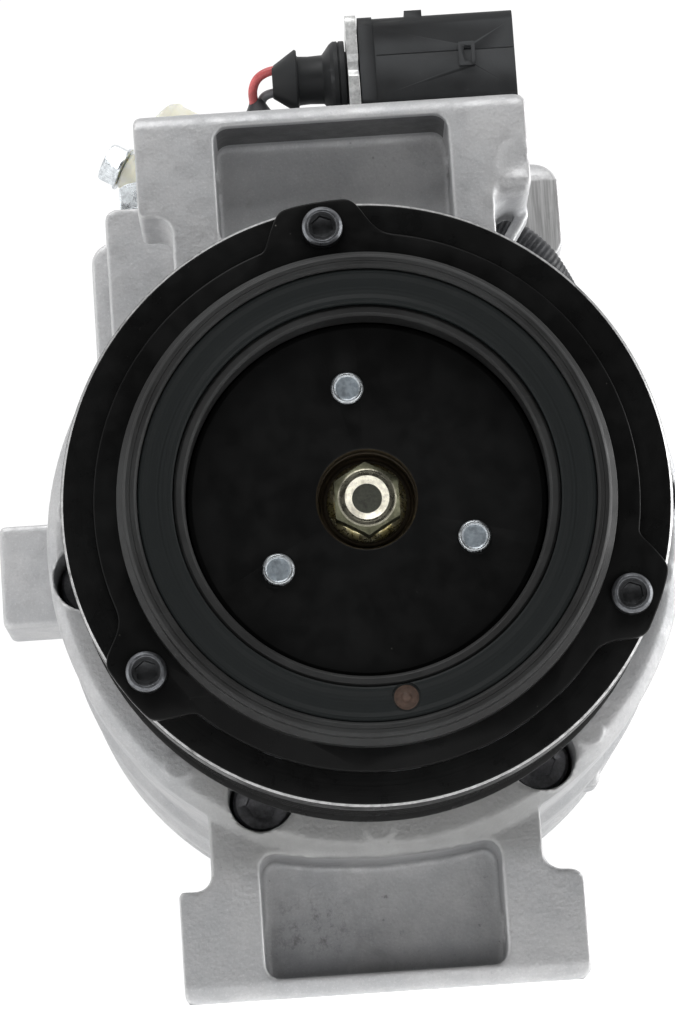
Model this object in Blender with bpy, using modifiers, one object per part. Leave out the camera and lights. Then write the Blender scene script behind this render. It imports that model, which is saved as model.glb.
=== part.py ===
"""Clutchless swash-plate air conditioning compressor, built as separate solids.

Working axes, in millimetres: the shaft lies along Y with the belt pulley at the
front (-Y), X is to the right seen from the pulley, Z is up. The front face of
the pulley rim is y = 0 and the shaft axis is x = z = 0. Every solid is written
out in metres, moved by SHIFT so that the origin is the bottom centre of the
whole machine.
"""
import math

import bmesh
import bpy
from mathutils import Matrix, Vector

MM = 0.001
WELD = 1.0e-6
SHIFT = Vector((5.05, -99.0, 94.6))

# pulley and damped drive, radii about the shaft axis
PULLEY_R = 61.0
PULLEY_BACK = 32.0
GROOVES = 6
GROOVE_PITCH = 3.56
GROOVE_START = 8.3
GROOVE_ROOT_R = 57.6
RIM_INNER_R = 51.5
BEARING_BORE_R = 17.5
BEARING_OUTER_R = 26.0
BEARING_Y = (8.0, 28.0)
PLATE_R = 54.3
LOBE_ANGLES = (95.4, 214.9, 336.0)
SCREW_R = 55.6
RIVET_R = 22.6
RIVET_ANGLES = (96.2, 215.4, 336.6)

# castings
FLANGE_Y = 43.0
FRONT_END = 116.0
BLOCK_Y = (116.4, 156.0)
PLATE_Y = (156.4, 159.4)
HEAD_Y = (159.8, 208.0)
BODY_R = 66.8
JOINT_R = 67.4
CAVITY_R = 52.4
CAVITY_FRONT_R = 51.0
BOLT_R = 58.8
BOLT_ANGLES = [4.6 + 60.0 * k for k in range(6)]
EAR_Y = (45.0, 69.0)
EAR_BORE_Y = 57.0
EAR_BORE_Z = 82.0
EAR_BORE_R = 4.5
STAND_Z = -94.6

# working parts
CYLINDERS = 6
PITCH_R = 37.0
BORE_R = 15.0
SWASH_Y = 97.0
SWASH_HALF = 3.5
SWASH_R = 44.8
SHOE_R = 9.0
SHOE_GAP = 0.6
JAW_GAP = 8.6


def polar(radius, degrees):
    a = math.radians(degrees)
    return radius * math.cos(a), radius * math.sin(a)


def at(point):
    """Working millimetres to world metres."""
    return (Vector(point) + SHIFT) * MM


def facing(direction, origin, phase=0.0):
    """A frame at origin whose local Z looks along direction."""
    z = Vector(direction).normalized()
    if abs(z.x) > 0.999:
        x = Vector((0, 1, 0))
    elif abs(z.y) > 0.999 or abs(z.z) > 0.999:
        x = Vector((1, 0, 0))
    else:
        x = z.cross(Vector((0, 1, 0))).normalized()
    turned = Matrix((x, z.cross(x), z)).transposed().to_4x4()
    return Matrix.Translation(at(origin)) @ turned @ Matrix.Rotation(math.radians(phase), 4, "Z")


def blank(name, data, frame=None):
    """A new object in the cutters collection; finished parts leave it later."""
    ob = bpy.data.objects.new(name, data)
    if frame is not None:
        ob.matrix_basis = frame
    ob.hide_render = True
    ob.display_type = "WIRE"
    CUTTERS.objects.link(ob)
    return ob


def baked(ob):
    """The shape with its modifiers or bevel, as one welded mesh in world axes."""
    graph = bpy.context.evaluated_depsgraph_get()
    mesh = bpy.data.meshes.new_from_object(ob.evaluated_get(graph))
    mesh.transform(ob.matrix_basis)
    name = ob.name
    bpy.data.objects.remove(ob)
    bm = bmesh.new()
    bm.from_mesh(mesh)
    bmesh.ops.remove_doubles(bm, verts=bm.verts, dist=WELD)
    bmesh.ops.recalc_face_normals(bm, faces=bm.faces)
    bm.to_mesh(mesh)
    bm.free()
    return blank(name, mesh)


def lathe(name, profile, n=48, origin=(0, 0, 0), direction=(0, 1, 0), phase=0.0):
    """Turns (along, radius) points about an axis; a radius of 0 closes on it."""
    bm = bmesh.new()
    points = [bm.verts.new((radius * MM, 0, along * MM)) for along, radius in profile]
    for a, b in zip(points, points[1:]):
        bm.edges.new((a, b))
    if profile[0][1] > 0 and profile[-1][1] > 0:
        bm.edges.new((points[-1], points[0]))
    mesh = bpy.data.meshes.new(name)
    bm.to_mesh(mesh)
    bm.free()
    ob = blank(name, mesh, facing(direction, origin, phase))
    turn = ob.modifiers.new("turn", "SCREW")
    turn.axis = "Z"
    turn.steps = turn.render_steps = n
    turn.use_merge_vertices = True
    turn.merge_threshold = WELD
    return baked(ob)


def rod(name, start, end, radius, n=24, phase=0.0):
    start, end = Vector(start), Vector(end)
    bm = bmesh.new()
    bmesh.ops.create_cone(bm, cap_ends=True, segments=n, radius1=radius * MM, radius2=radius * MM,
                          depth=(end - start).length * MM, matrix=facing(end - start, (start + end) / 2, phase))
    bmesh.ops.recalc_face_normals(bm, faces=bm.faces)
    mesh = bpy.data.meshes.new(name)
    bm.to_mesh(mesh)
    bm.free()
    return blank(name, mesh)


def prism(name, outline, low, high, axis="Y"):
    """Extrudes a flat outline: (x, z) along Y, (y, z) along X, (x, y) along Z."""
    curve = bpy.data.curves.new(name, "CURVE")
    curve.dimensions = "2D"
    curve.fill_mode = "BOTH"
    curve.extrude = (high - low) / 2 * MM
    spline = curve.splines.new("POLY")
    spline.points.add(len(outline) - 1)
    for point, (a, b) in zip(spline.points, outline):
        point.co = (a * MM, b * MM, 0, 1)
    spline.use_cyclic_u = True
    middle = (low + high) / 2
    if axis == "Y":
        frame = Matrix.Translation(at((0, middle, 0))) @ Matrix.Rotation(math.pi / 2, 4, "X")
    elif axis == "X":
        frame = Matrix.Translation(at((middle, 0, 0))) @ Matrix(((0, 0, 1), (1, 0, 0), (0, 1, 0))).to_4x4()
    else:
        frame = Matrix.Translation(at((0, 0, middle)))
    ob = baked(blank(name, curve, frame))
    bm = bmesh.new()
    bm.from_mesh(ob.data)
    bmesh.ops.dissolve_limit(bm, angle_limit=math.radians(0.5), verts=bm.verts, edges=bm.edges)
    bm.to_mesh(ob.data)
    bm.free()
    return ob


def rounded(corners, steps=4):
    """Corner list (a, b, radius) to an outline with the corners rounded."""
    out = []
    for i, (a, b, radius) in enumerate(corners):
        p = Vector((a, b))
        if radius <= 0:
            out.append((a, b))
            continue
        u = (Vector(corners[i - 1][:2]) - p).normalized()
        v = (Vector(corners[(i + 1) % len(corners)][:2]) - p).normalized()
        half = u.angle(v) / 2
        reach = radius / math.tan(half)
        centre = p + (u + v).normalized() * (radius / math.sin(half))
        start, end = p + u * reach - centre, p + v * reach - centre
        a0 = math.atan2(start.y, start.x)
        turn = math.atan2(end.y, end.x) - a0
        turn = (turn + math.pi) % (2 * math.pi) - math.pi
        for k in range(steps + 1):
            t = a0 + turn * k / steps
            out.append((centre.x + radius * math.cos(t), centre.y + radius * math.sin(t)))
    return out


def slab(name, x, y, z, radius=0.0, axis="Y"):
    """A block with the corners rounded in the outline square to one axis."""
    if axis == "Y":
        (a0, a1), (b0, b1), (low, high) = x, z, y
    elif axis == "X":
        (a0, a1), (b0, b1), (low, high) = y, z, x
    else:
        (a0, a1), (b0, b1), (low, high) = x, y, z
    outline = rounded([(a0, b0, radius), (a1, b0, radius), (a1, b1, radius), (a0, b1, radius)], 3)
    return prism(name, outline, low, high, axis)


def combine(ob, how, others):
    """Boolean of ob with each of the others in turn; the others are used up."""
    for other in others:
        mod = ob.modifiers.new("cut", "BOOLEAN")
        mod.operation = how
        mod.solver = "EXACT"
        mod.object = other
        graph = bpy.context.evaluated_depsgraph_get()
        mesh = bpy.data.meshes.new_from_object(ob.evaluated_get(graph))
        ob.modifiers.clear()
        ob.data = mesh
        bpy.data.objects.remove(other)
        bm = bmesh.new()
        bm.from_mesh(mesh)
        bmesh.ops.remove_doubles(bm, verts=bm.verts, dist=WELD)
        bmesh.ops.dissolve_degenerate(bm, edges=bm.edges, dist=WELD)
        bm.to_mesh(mesh)
        bm.free()
    return ob


def add(ob, *others):
    return combine(ob, "UNION", others)


def cut(ob, *others):
    return combine(ob, "DIFFERENCE", others)


def keep(ob, *others):
    return combine(ob, "INTERSECT", others)


def hexagon(flats, turn=0.0):
    return [polar(flats / math.sqrt(3), 60 * k + turn) for k in range(6)]


def smooth_line(route, fine):
    """Points along a smooth curve through the route's own points."""
    pts = [Vector(p) for p in route]
    line = []
    for i in range(len(pts) - 1):
        p0, p1 = pts[max(i - 1, 0)], pts[i]
        p2, p3 = pts[i + 1], pts[min(i + 2, len(pts) - 1)]
        for k in range(fine):
            t = k / fine
            line.append(0.5 * ((2 * p1) + (p2 - p0) * t + (2 * p0 - 5 * p1 + 4 * p2 - p3) * t * t
                               + (3 * p1 - p0 - 3 * p2 + p3) * t ** 3))
    return line + [pts[-1]]


def sweep(name, route, radius, resolution=2, fine=3):
    """A round tube along a smooth curve, with flat ends."""
    line = smooth_line(route, fine)
    curve = bpy.data.curves.new(name, "CURVE")
    curve.dimensions = "3D"
    curve.bevel_depth = radius * MM
    curve.bevel_resolution = resolution
    curve.use_fill_caps = True
    spline = curve.splines.new("POLY")
    spline.points.add(len(line) - 1)
    for point, p in zip(spline.points, line):
        point.co = (*at(p), 1)
    return baked(blank(name, curve))


# ---------------------------------------------------------------- drive end
def make_pulley():
    profile = [(0.0, RIM_INNER_R), (0.0, 60.3), (0.7, PULLEY_R), (7.4, PULLEY_R), (7.4, 60.4)]
    y = GROOVE_START
    for _ in range(GROOVES):
        profile += [(y, 60.4), (y + 1.7, GROOVE_ROOT_R)]
        y += GROOVE_PITCH
    profile += [(y - 0.06, 60.4), (y + 0.5, PULLEY_R), (31.4, PULLEY_R), (PULLEY_BACK, 60.4), (PULLEY_BACK, RIM_INNER_R),
                (16.0, RIM_INNER_R), (16.0, 31.0), (29.0, 31.0), (29.0, 26.3),
                (7.0, 26.3), (7.0, 31.0), (12.0, 31.0), (12.0, RIM_INNER_R)]
    pulley = lathe("pulley", profile, 32)
    holes = []
    for angle in LOBE_ANGLES:
        x, z = polar(SCREW_R, angle)
        holes.append(rod("hole", (x, -1, z), (x, 7.6, z), 2.8, 12))
    return cut(pulley, *holes)


def make_bearing():
    y0, y1 = BEARING_Y
    lathe("bearing_outer_ring", [(y0, 23.6), (y0, BEARING_OUTER_R), (y1, BEARING_OUTER_R), (y1, 23.6), (20.5, 23.4),
                                 (18, 24.1), (15.5, 23.4)], 32)
    lathe("bearing_inner_ring", [(y0, 19.8), (y0, BEARING_BORE_R), (y1, BEARING_BORE_R), (y1, 19.8), (20.5, 20.0),
                                 (18, 19.4), (15.5, 20.0)], 28)
    balls = lathe("bearing_balls", [(17.4, 21.1), (17.4, 22.3), (18.6, 22.3), (18.6, 21.1)], 24)
    for k in range(8):
        x, z = polar(21.7, 45 * k + 3.0)
        arc = [(18 - 1.7, 0)] + [(18 - 1.7 * math.cos(math.radians(a)), 1.7 * math.sin(math.radians(a)))
                                 for a in (50, 90, 130)] + [(18 + 1.7, 0)]
        add(balls, lathe("ball", arc, 6, (x, 0, z)))
    lathe("bearing_snap_ring", [(6.2, 16.9), (6.2, 19.0), (7.3, 19.0), (7.3, 16.9)], 28)


def lobed_outline():
    lobe = [(13.4, 54.4), (12.3, 55.2), (9.2, 59.2), (8.0, 60.7), (6.4, 61.3), (3.2, 61.4), (0.0, 61.4),
            (-3.2, 61.4), (-5.4, 61.2), (-7.0, 60.1), (-9.4, 57.2), (-11.6, 55.2), (-14.6, 54.4)]
    outline = []
    for k, angle in enumerate(LOBE_ANGLES):
        outline += [polar(r, angle + off) for off, r in reversed(lobe)]
        nxt = LOBE_ANGLES[(k + 1) % 3] + (360 if k == 2 else 0)
        start, end = angle + 13.4, nxt - 14.6
        steps = 9
        outline += [polar(PLATE_R, start + (end - start) * i / steps) for i in range(1, steps)]
    return outline


def make_drive():
    plate = prism("drive_plate", lobed_outline(), -2.4, -0.3)
    cut(plate, rod("hole", (0, -4, 0), (0, 1, 0), 46.9, 28, 2.1))
    add(plate, lathe("collar", [(-9.4, 45.5), (-10.0, 46.0), (-10.0, 47.6), (-9.4, 48.2), (-6.4, 48.2), (-5.6, 49.6),
                                (-1.4, 49.6), (-0.5, 48.6), (-0.5, 45.5)], 32))
    holes = []
    for angle in LOBE_ANGLES:
        x, z = polar(SCREW_R, angle)
        holes.append(rod("hole", (x, -4, z), (x, 1, z), 2.8, 12))
    cut(plate, *holes)

    for k, angle in enumerate(LOBE_ANGLES):
        x, z = polar(SCREW_R, angle)
        screw = lathe(f"drive_screw_{k + 1}", [(-5.3, 0), (-5.3, 3.6), (-4.8, 4.1), (-2.7, 4.1), (-2.7, 2.45),
                                               (6.9, 2.45), (7.3, 2.0), (7.3, 0)], 14, (x, 0, z))
        socket = prism("socket", [(x + a, z + b) for a, b in hexagon(4.0, angle + 4)], -7, -3.6)
        cut(screw, socket)

    rubber = lathe("damper_rubber", [(-9.0, 38.6), (-9.2, 39.4), (-8.7, 41.8), (-9.2, 44.2), (-9.0, 45.1),
                                     (-1.6, 45.1), (-1.6, 38.6)], 32)
    x, z = polar(41.0, -83.1)
    cut(rubber, rod("dimple", (x, -12, z), (x, -7.9, z), 2.5, 12))
    lathe("damper_sleeve", [(-7.6, 36.0), (-8.2, 36.6), (-8.2, 37.7), (-7.8, 38.2), (-0.9, 38.2), (-0.9, 36.0)], 32)

    plate = lathe("hub_plate", [(-2.4, 9.9), (-2.4, 34.9), (-2.0, 35.6), (0.5, 35.6), (0.5, 9.9)], 32)
    hub = lathe("hub", [(0.8, 9.7), (0.8, 28.0), (4.2, 28.0), (4.2, 12.0), (18.0, 12.0), (18.0, 8.3), (6.0, 8.3),
                        (6.0, 4.4), (3.4, 4.4), (3.4, 9.2)], 24)
    for k, angle in enumerate(RIVET_ANGLES):
        x, z = polar(RIVET_R, angle)
        cut(plate, rod("hole", (x, -4, z), (x, 2, z), 2.4, 10))
        cut(hub, rod("hole", (x, -1, z), (x, 6, z), 2.4, 10))
        lathe(f"hub_rivet_{k + 1}", [(-3.7, 0), (-3.7, 2.9), (-3.3, 3.25), (-2.7, 3.25), (-2.7, 2.05), (4.5, 2.05),
                                     (4.5, 3.0), (5.4, 2.4), (5.4, 0)], 10, (x, 0, z))

    bolt = prism("centre_bolt", hexagon(12.8, -90), -4.4, 1.8)
    keep(bolt, lathe("chamfer", [(-4.4, 0), (-4.4, 5.9), (-3.2, 7.9), (2.5, 7.9), (2.5, 0)], 24))
    add(bolt, lathe("flange", [(0.9, 0), (0.9, 6.9), (1.9, 8.0), (3.1, 8.0), (3.1, 4.0), (21.5, 4.0), (22.3, 3.2),
                               (22.3, 0)], 24, phase=2.0))
    cut(bolt, lathe("dish", [(-3.4, 0), (-3.4, 3.0), (-4.6, 3.8), (-6.0, 3.8), (-6.0, 0)], 16, phase=4.0))


# ---------------------------------------------------------------- castings
def ear_solid(side):
    """The ear pair web and its cross tube; side is +1 above, -1 below."""
    outline = [(-36.6, 52.5, 0), (-36.6, 71.6, 3.0), (-43.5, 71.6, 0.5), (-43.5, 94.6, 1.0), (40.5, 94.6, 2.0),
               (40.5, 71.8, 3.0), (32.2, 71.8, 4.0), (32.2, 52.5, 0)]
    web = prism("ear", [(a, side * b) for a, b in rounded(outline)], *EAR_Y)
    y0, y1 = EAR_Y
    shape = rounded([(y0, 40, 0), (y0, 94.6, 3.5), (y1, 94.6, 6.0), (y1, 40, 0)])
    return keep(web, prism("shape", [(a, side * b) for a, b in shape], -60, 60, "X"))


def ear_pocket(side):
    outline = rounded([(-26.5, 90.6, 2.6), (23.5, 90.6, 2.6), (23.5, 64.4, 3.0), (12.0, 66.4, 0), (-1.5, 67.2, 0),
                       (-15.0, 66.4, 0), (-26.5, 64.4, 3.0)])
    return prism("pocket", [(a, side * b) for a, b in outline], 40, 62)


def bolt_cutters(low, high, radius):
    out = []
    for angle in BOLT_ANGLES:
        x, z = polar(BOLT_R, angle)
        out.append(rod("hole", (x, low, z), (x, high, z), radius, 10))
    return out


def make_front_housing():
    outer = [(4.8, 0), (4.8, 17.2), (6.0, 17.2), (6.0, 16.4), (7.5, 16.4), (7.5, 17.2), (28.4, 17.2),
             (28.4, 22.5), (31.5, 22.5), (36.5, 44.0), (FLANGE_Y, 53.0), (FLANGE_Y, 64.6),
             (44.6, BODY_R), (66.0, BODY_R), (68.0, 65.6), (104.0, 65.6), (107.0, JOINT_R), (FRONT_END, JOINT_R),
             (FRONT_END, 0)]
    body = lathe("front_housing", outer, 36)
    add(body, ear_solid(+1), ear_solid(-1))
    # upper left boss with the tapped hole of the hex bolt
    add(body, slab("boss", (-52.6, -34.5), (92.0, 115.7), (44.0, 85.9), 2.5))
    cut(body, lathe("inside", [(50.0, 0), (50.0, 49.0), (52.0, CAVITY_FRONT_R), (66.0, CAVITY_FRONT_R),
                              (68.0, CAVITY_R), (130.0, CAVITY_R), (130.0, 0)], 28, phase=1.3))
    cut(body, lathe("shaft_way", [(0.0, 0), (0.0, 13.2), (34.0, 13.2), (34.0, 11.0), (54.0, 11.0), (54.0, 0)], 20, phase=2.35))
    cut(body, ear_pocket(+1), ear_pocket(-1))
    for side in (+1, -1):
        cut(body, rod("bore", (-60, EAR_BORE_Y, side * EAR_BORE_Z), (60, EAR_BORE_Y, side * EAR_BORE_Z), EAR_BORE_R, 14))
    cut(body, *bolt_cutters(40.0, 63.3, 7.0))
    cut(body, *bolt_cutters(60.0, 130.0, 4.4))
    cut(body, rod("tapped", (-43.6, 103.0, 95.0), (-43.6, 103.0, 70.0), 3.4, 12))
    cut(body, rod("tapped", (15.0, 63.6, 86.0), (15.0, 75.0, 86.0), 2.7, 10))
    return body


def make_block():
    y0, y1 = BLOCK_Y
    block = lathe("cylinder_block", [(y0, 0), (y0, JOINT_R), (124.0, JOINT_R), (126.0, 66.0), (148.0, 66.0),
                                     (150.0, JOINT_R), (y1, JOINT_R), (y1, 0)], 36)
    # boss behind the one on the front housing
    add(block, slab("boss", (-57.3, -34.0), (y0 + 0.4, 150.0), (42.0, 84.4), 5.0))
    # upper rear ear
    ear = prism("ear", rounded([(5.0, 52.0, 0), (5.0, 97.7, 5.0), (51.4, 97.7, 5.0), (51.4, 73.7, 5.0),
                                (34.0, 73.7, 3.0), (34.0, 52.0, 0)]), 117.0, 141.0)
    shape = rounded([(117.0, 40, 0), (117.0, 97.7, 5.0), (141.0, 97.7, 5.0), (141.0, 40, 0)])
    keep(ear, prism("shape", shape, -10, 60, "X"))
    add(block, ear)
    # lower rear ear, level with the front one
    foot = prism("foot", rounded([(-22.0, -50.0, 0), (-22.0, STAND_Z, 3.0), (18.0, STAND_Z, 3.0), (18.0, -50.0, 0)]),
                 119.0, 141.0)
    shape = rounded([(119.0, -40, 0), (119.0, STAND_Z, 4.0), (141.0, STAND_Z, 4.0), (141.0, -40, 0)])
    keep(foot, prism("shape", shape, -60, 60, "X"))
    add(block, foot)
    # lower right locating lug
    add(block, slab("lug", (38.0, 50.3), (117.0, 130.0), (-48.3, -36.0), 2.0))
    # leaning pipe port
    c, u = PORT_CENTRE, PORT_AXIS
    add(block, rod("neck", (c - u * 24), (c - u * 9.3), 10.5, 20))
    low = c - u * 22
    add(block, rod("neck", (low.x, low.y, 55.0), (low.x, low.y, low.z + 3.0), 10.2, 20))
    cut(block, rod("port", c - u * 19, c + u * 2, 6.0, 14))
    cut(block, rod("tapped", c - u * 20 + PORT_SIDE, c + u * 2 + PORT_SIDE, 1.6, 10))
    bores = []
    for k in range(CYLINDERS):
        x, z = polar(PITCH_R, 90 + 60 * k)
        bores.append(rod("bore", (x, 110, z), (x, 165, z), BORE_R, 16, 0.7 + 1.9 * k))
    cut(block, *bores)
    cut(block, rod("bore", (0, 110, 0), (0, 165, 0), 9.7, 20, 3.1))
    cut(block, *bolt_cutters(110, 165, 4.4))
    cut(block, rod("bore", (0, 129.0, 85.7), (60, 129.0, 85.7), EAR_BORE_R, 14))
    cut(block, rod("bore", (-40, 130.0, -EAR_BORE_Z), (40, 130.0, -EAR_BORE_Z), EAR_BORE_R, 14))
    return block


def make_valve_plate():
    y0, y1 = PLATE_Y
    plate = lathe("valve_plate", [(y0, 0), (y0, 66.6), (y1, 66.6), (y1, 0)], 28)
    cut(plate, *bolt_cutters(150, 165, 4.4))
    for k in range(CYLINDERS):
        for radius, hole in ((43.5, 3.0), (28.0, 4.0)):
            x, z = polar(radius, 90 + 60 * k)
            cut(plate, rod("port", (x, 150, z), (x, 165, z), hole, 6))
    return plate


def make_rear_head():
    y0, y1 = HEAD_Y
    head = lathe("rear_head", [(y0, 0), (y0, JOINT_R), (168.0, JOINT_R), (170.0, 66.0), (199.0, 65.0), (205.0, 60.0),
                               (y1, 52.0), (y1, 0)], 36)
    add(head, slab("boss", (-85.3, -52.0), (163.0, 187.0), (3.0, 27.7), 1.0))
    add(head, rod("valve_boss", (40.0, VALVE_Y, VALVE_Z), (65.6, VALVE_Y, VALVE_Z), 12.6, 20))
    cut(head, rod("suction", (0, 150, 0), (0, 192, 0), 22.0, 24, 1.7))
    cut(head, lathe("discharge", [(150, 31.0), (150, 49.5), (174, 49.5), (174, 31.0)], 32, phase=2.6))
    cut(head, rod("valve_bore", (34.0, VALVE_Y, VALVE_Z), (80.0, VALVE_Y, VALVE_Z), 8.7, 16))
    cut(head, rod("tapped", (-90.0, 175.0, 15.3), (-64.0, 175.0, 15.3), 3.4, 12))
    cut(head, *bolt_cutters(150, 192, 4.4))
    return head


def make_through_bolts():
    for k, angle in enumerate(BOLT_ANGLES):
        x, z = polar(BOLT_R, angle)
        bolt = lathe(f"through_bolt_{k + 1}", [(55.0, 0), (55.0, 5.7), (55.5, 6.2), (63.0, 6.2), (63.0, 4.0),
                                               (189.4, 4.0), (190.0, 3.4), (190.0, 0)], 10, (x, 0, z))
        cut(bolt, prism("socket", [(x + a, z + b) for a, b in hexagon(6.0, angle)], 50, 58))


# ---------------------------------------------------------------- moving parts
def make_shaft():
    lathe("shaft", [(24.0, 0), (24.0, 4.4), (6.4, 4.4), (6.4, 7.6), (6.8, 8.0), (31.0, 8.0), (32.0, 9.0), (149.0, 9.0),
                    (150.0, 8.0), (150.0, 0)], 20)
    lathe("shaft_seal", [(21.0, 8.5), (21.0, 12.8), (29.5, 12.8), (29.5, 11.4), (23.0, 11.2), (23.0, 9.2), (28.0, 8.9),
                         (28.0, 8.5)], 20)
    lug = lathe("lug_plate", [(52.8, 9.3), (52.8, 22.0), (53.6, 25.5), (59.0, 25.5), (60.0, 24.5), (60.0, 14.0),
                              (66.0, 14.0), (66.0, 9.3)], 20)
    add(lug, slab("lug", (-4.0, 4.0), (58.5, 68.0), (17.0, 24.0), 1.0))


def make_swash():
    plate = lathe("swash_plate", [(SWASH_Y - SWASH_HALF, 14.6), (SWASH_Y - SWASH_HALF, SWASH_R - 0.8),
                                  (SWASH_Y - SWASH_HALF + 0.8, SWASH_R), (SWASH_Y + SWASH_HALF - 0.8, SWASH_R),
                                  (SWASH_Y + SWASH_HALF, SWASH_R - 0.8), (SWASH_Y + SWASH_HALF, 14.6)], 36)
    return plate


def make_piston():
    """The piston at the top of the circle."""
    ys = SWASH_Y
    c_shape = [(ys - 14.0, 29.5), (ys - 14.0, 49.4), (ys + 18.6, 49.4), (ys + 18.6, 29.5), (ys + JAW_GAP, 29.5),
               (ys + JAW_GAP, 46.8), (ys - JAW_GAP, 46.8), (ys - JAW_GAP, 29.5)]
    piston = prism("piston_1", c_shape, -8.5, 8.5, "X")
    add(piston, lathe("head", [(ys + 17.0, 0), (ys + 17.0, 11.5), (ys + 20.2, 14.6), (155.0, 14.6), (155.6, 14.0),
                               (155.6, 0)], 16, (0, 0, PITCH_R)))
    ball = SHOE_R + SHOE_GAP
    arc = [(ys + ball * -math.cos(math.radians(a)), ball * math.sin(math.radians(a))) for a in range(0, 181, 30)]
    arc[0] = (ys - ball, 0)
    arc[-1] = (ys + ball, 0)
    cut(piston, lathe("socket", arc, 12, (0, 0, PITCH_R)))
    return piston


def copy_pistons(first):
    """The other pistons share the first one's mesh, turned about the shaft."""
    settle(first, (0, SWASH_Y, PITCH_R), BODIES["housing"])
    for k in range(1, CYLINDERS):
        x, z = polar(PITCH_R, 90 + 60 * k)
        other = bpy.data.objects.new(f"piston_{k + 1}", first.data)
        other.location = at((x, SWASH_Y, z)) - BODIES["housing"].location
        other.rotation_euler = (0, -math.radians(60 * k), 0)
        other.parent = BODIES["housing"]
        PARTS.objects.link(other)


def make_shoes(k):
    x, z = polar(PITCH_R, 90 + 60 * k)
    flat = SWASH_HALF + SHOE_GAP
    for word, way in (("front", -1), ("rear", +1)):
        rim = math.sqrt(SHOE_R ** 2 - flat ** 2)
        top = math.degrees(math.atan2(rim, flat))
        arc = [(SWASH_Y + way * flat, 0)]
        for i in range(3):
            t = math.radians(top * (3 - i) / 3)
            arc.append((SWASH_Y + way * SHOE_R * math.cos(t), SHOE_R * math.sin(t)))
        arc.append((SWASH_Y + way * SHOE_R, 0))
        lathe(f"shoe_{word}_{k + 1}", arc, 12, (x, 0, z))


# ---------------------------------------------------------------- fittings
PORT_AXIS = Vector((-math.cos(math.radians(30)), 0, math.sin(math.radians(30))))
PORT_CENTRE = Vector((-38.5, 128.8, 108.0))
PORT_SIDE = Vector((-0.5 * 8.2, 0, -0.866 * 8.2))
VALVE_Y = 186.0
VALVE_Z = 22.0


def make_transport_cover():
    c, u = PORT_CENTRE, PORT_AXIS
    cover = lathe("transport_cover", [(-9.0, 0), (-9.0, 11.0), (-8.4, 11.6), (2.2, 11.6), (4.2, 10.4), (5.4, 8.0),
                                      (6.0, 4.0), (6.2, 0)], 24, c, u)
    side = c + PORT_SIDE
    add(cover, rod("pad", side - u * 4, side + u * 7.0, 4.4, 16))
    cut(cover, rod("hole", side - u * 12, side + u * 10, 1.9, 12))
    bolt = lathe("transport_bolt", [(7.3, 0), (7.3, 5.2), (8.0, 5.2), (8.0, 3.0), (9.0, 3.0), (9.0, 0)], 16, side, u)
    add(bolt, rod("hex", side + u * 7.7, side + u * 12.0, 8.6 / math.sqrt(3), 6))
    add(bolt, rod("shank", side - u * 16.5, side + u * 8.2, 1.45, 12))


def make_boss_bolt():
    x, y, z = -43.6, 103.0, 86.2
    bolt = lathe("boss_bolt", [(-14.0, 0), (-14.0, 3.2), (0.0, 3.2), (0.0, 6.6), (1.2, 6.6), (1.2, 0)], 24, (x, y, z), (0, 0, 1))
    add(bolt, prism("hex", [(x + a, y + b) for a, b in hexagon(11.4, 30)], z + 0.6, z + 7.2, "Z"))
    keep(bolt, lathe("chamfer", [(-20.0, 0), (-20.0, 8.0), (6.0, 8.0), (7.2, 5.4), (7.2, 0)], 24, (x, y, z), (0, 0, 1)))


def make_control_valve():
    valve = lathe("control_valve", [(36.0, 0), (36.0, 7.0), (38.0, 8.2), (66.0, 8.2), (66.0, 10.0), (67.0, 10.6),
                                    (73.6, 10.6), (75.2, 9.0), (75.2, 0)], 24, (0, VALVE_Y, VALVE_Z), (1, 0, 0))
    add(valve, rod("outlet", (70.4, VALVE_Y, VALVE_Z + 8.0), (70.4, VALVE_Y, VALVE_Z + 13.4), 3.4, 16))


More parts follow.
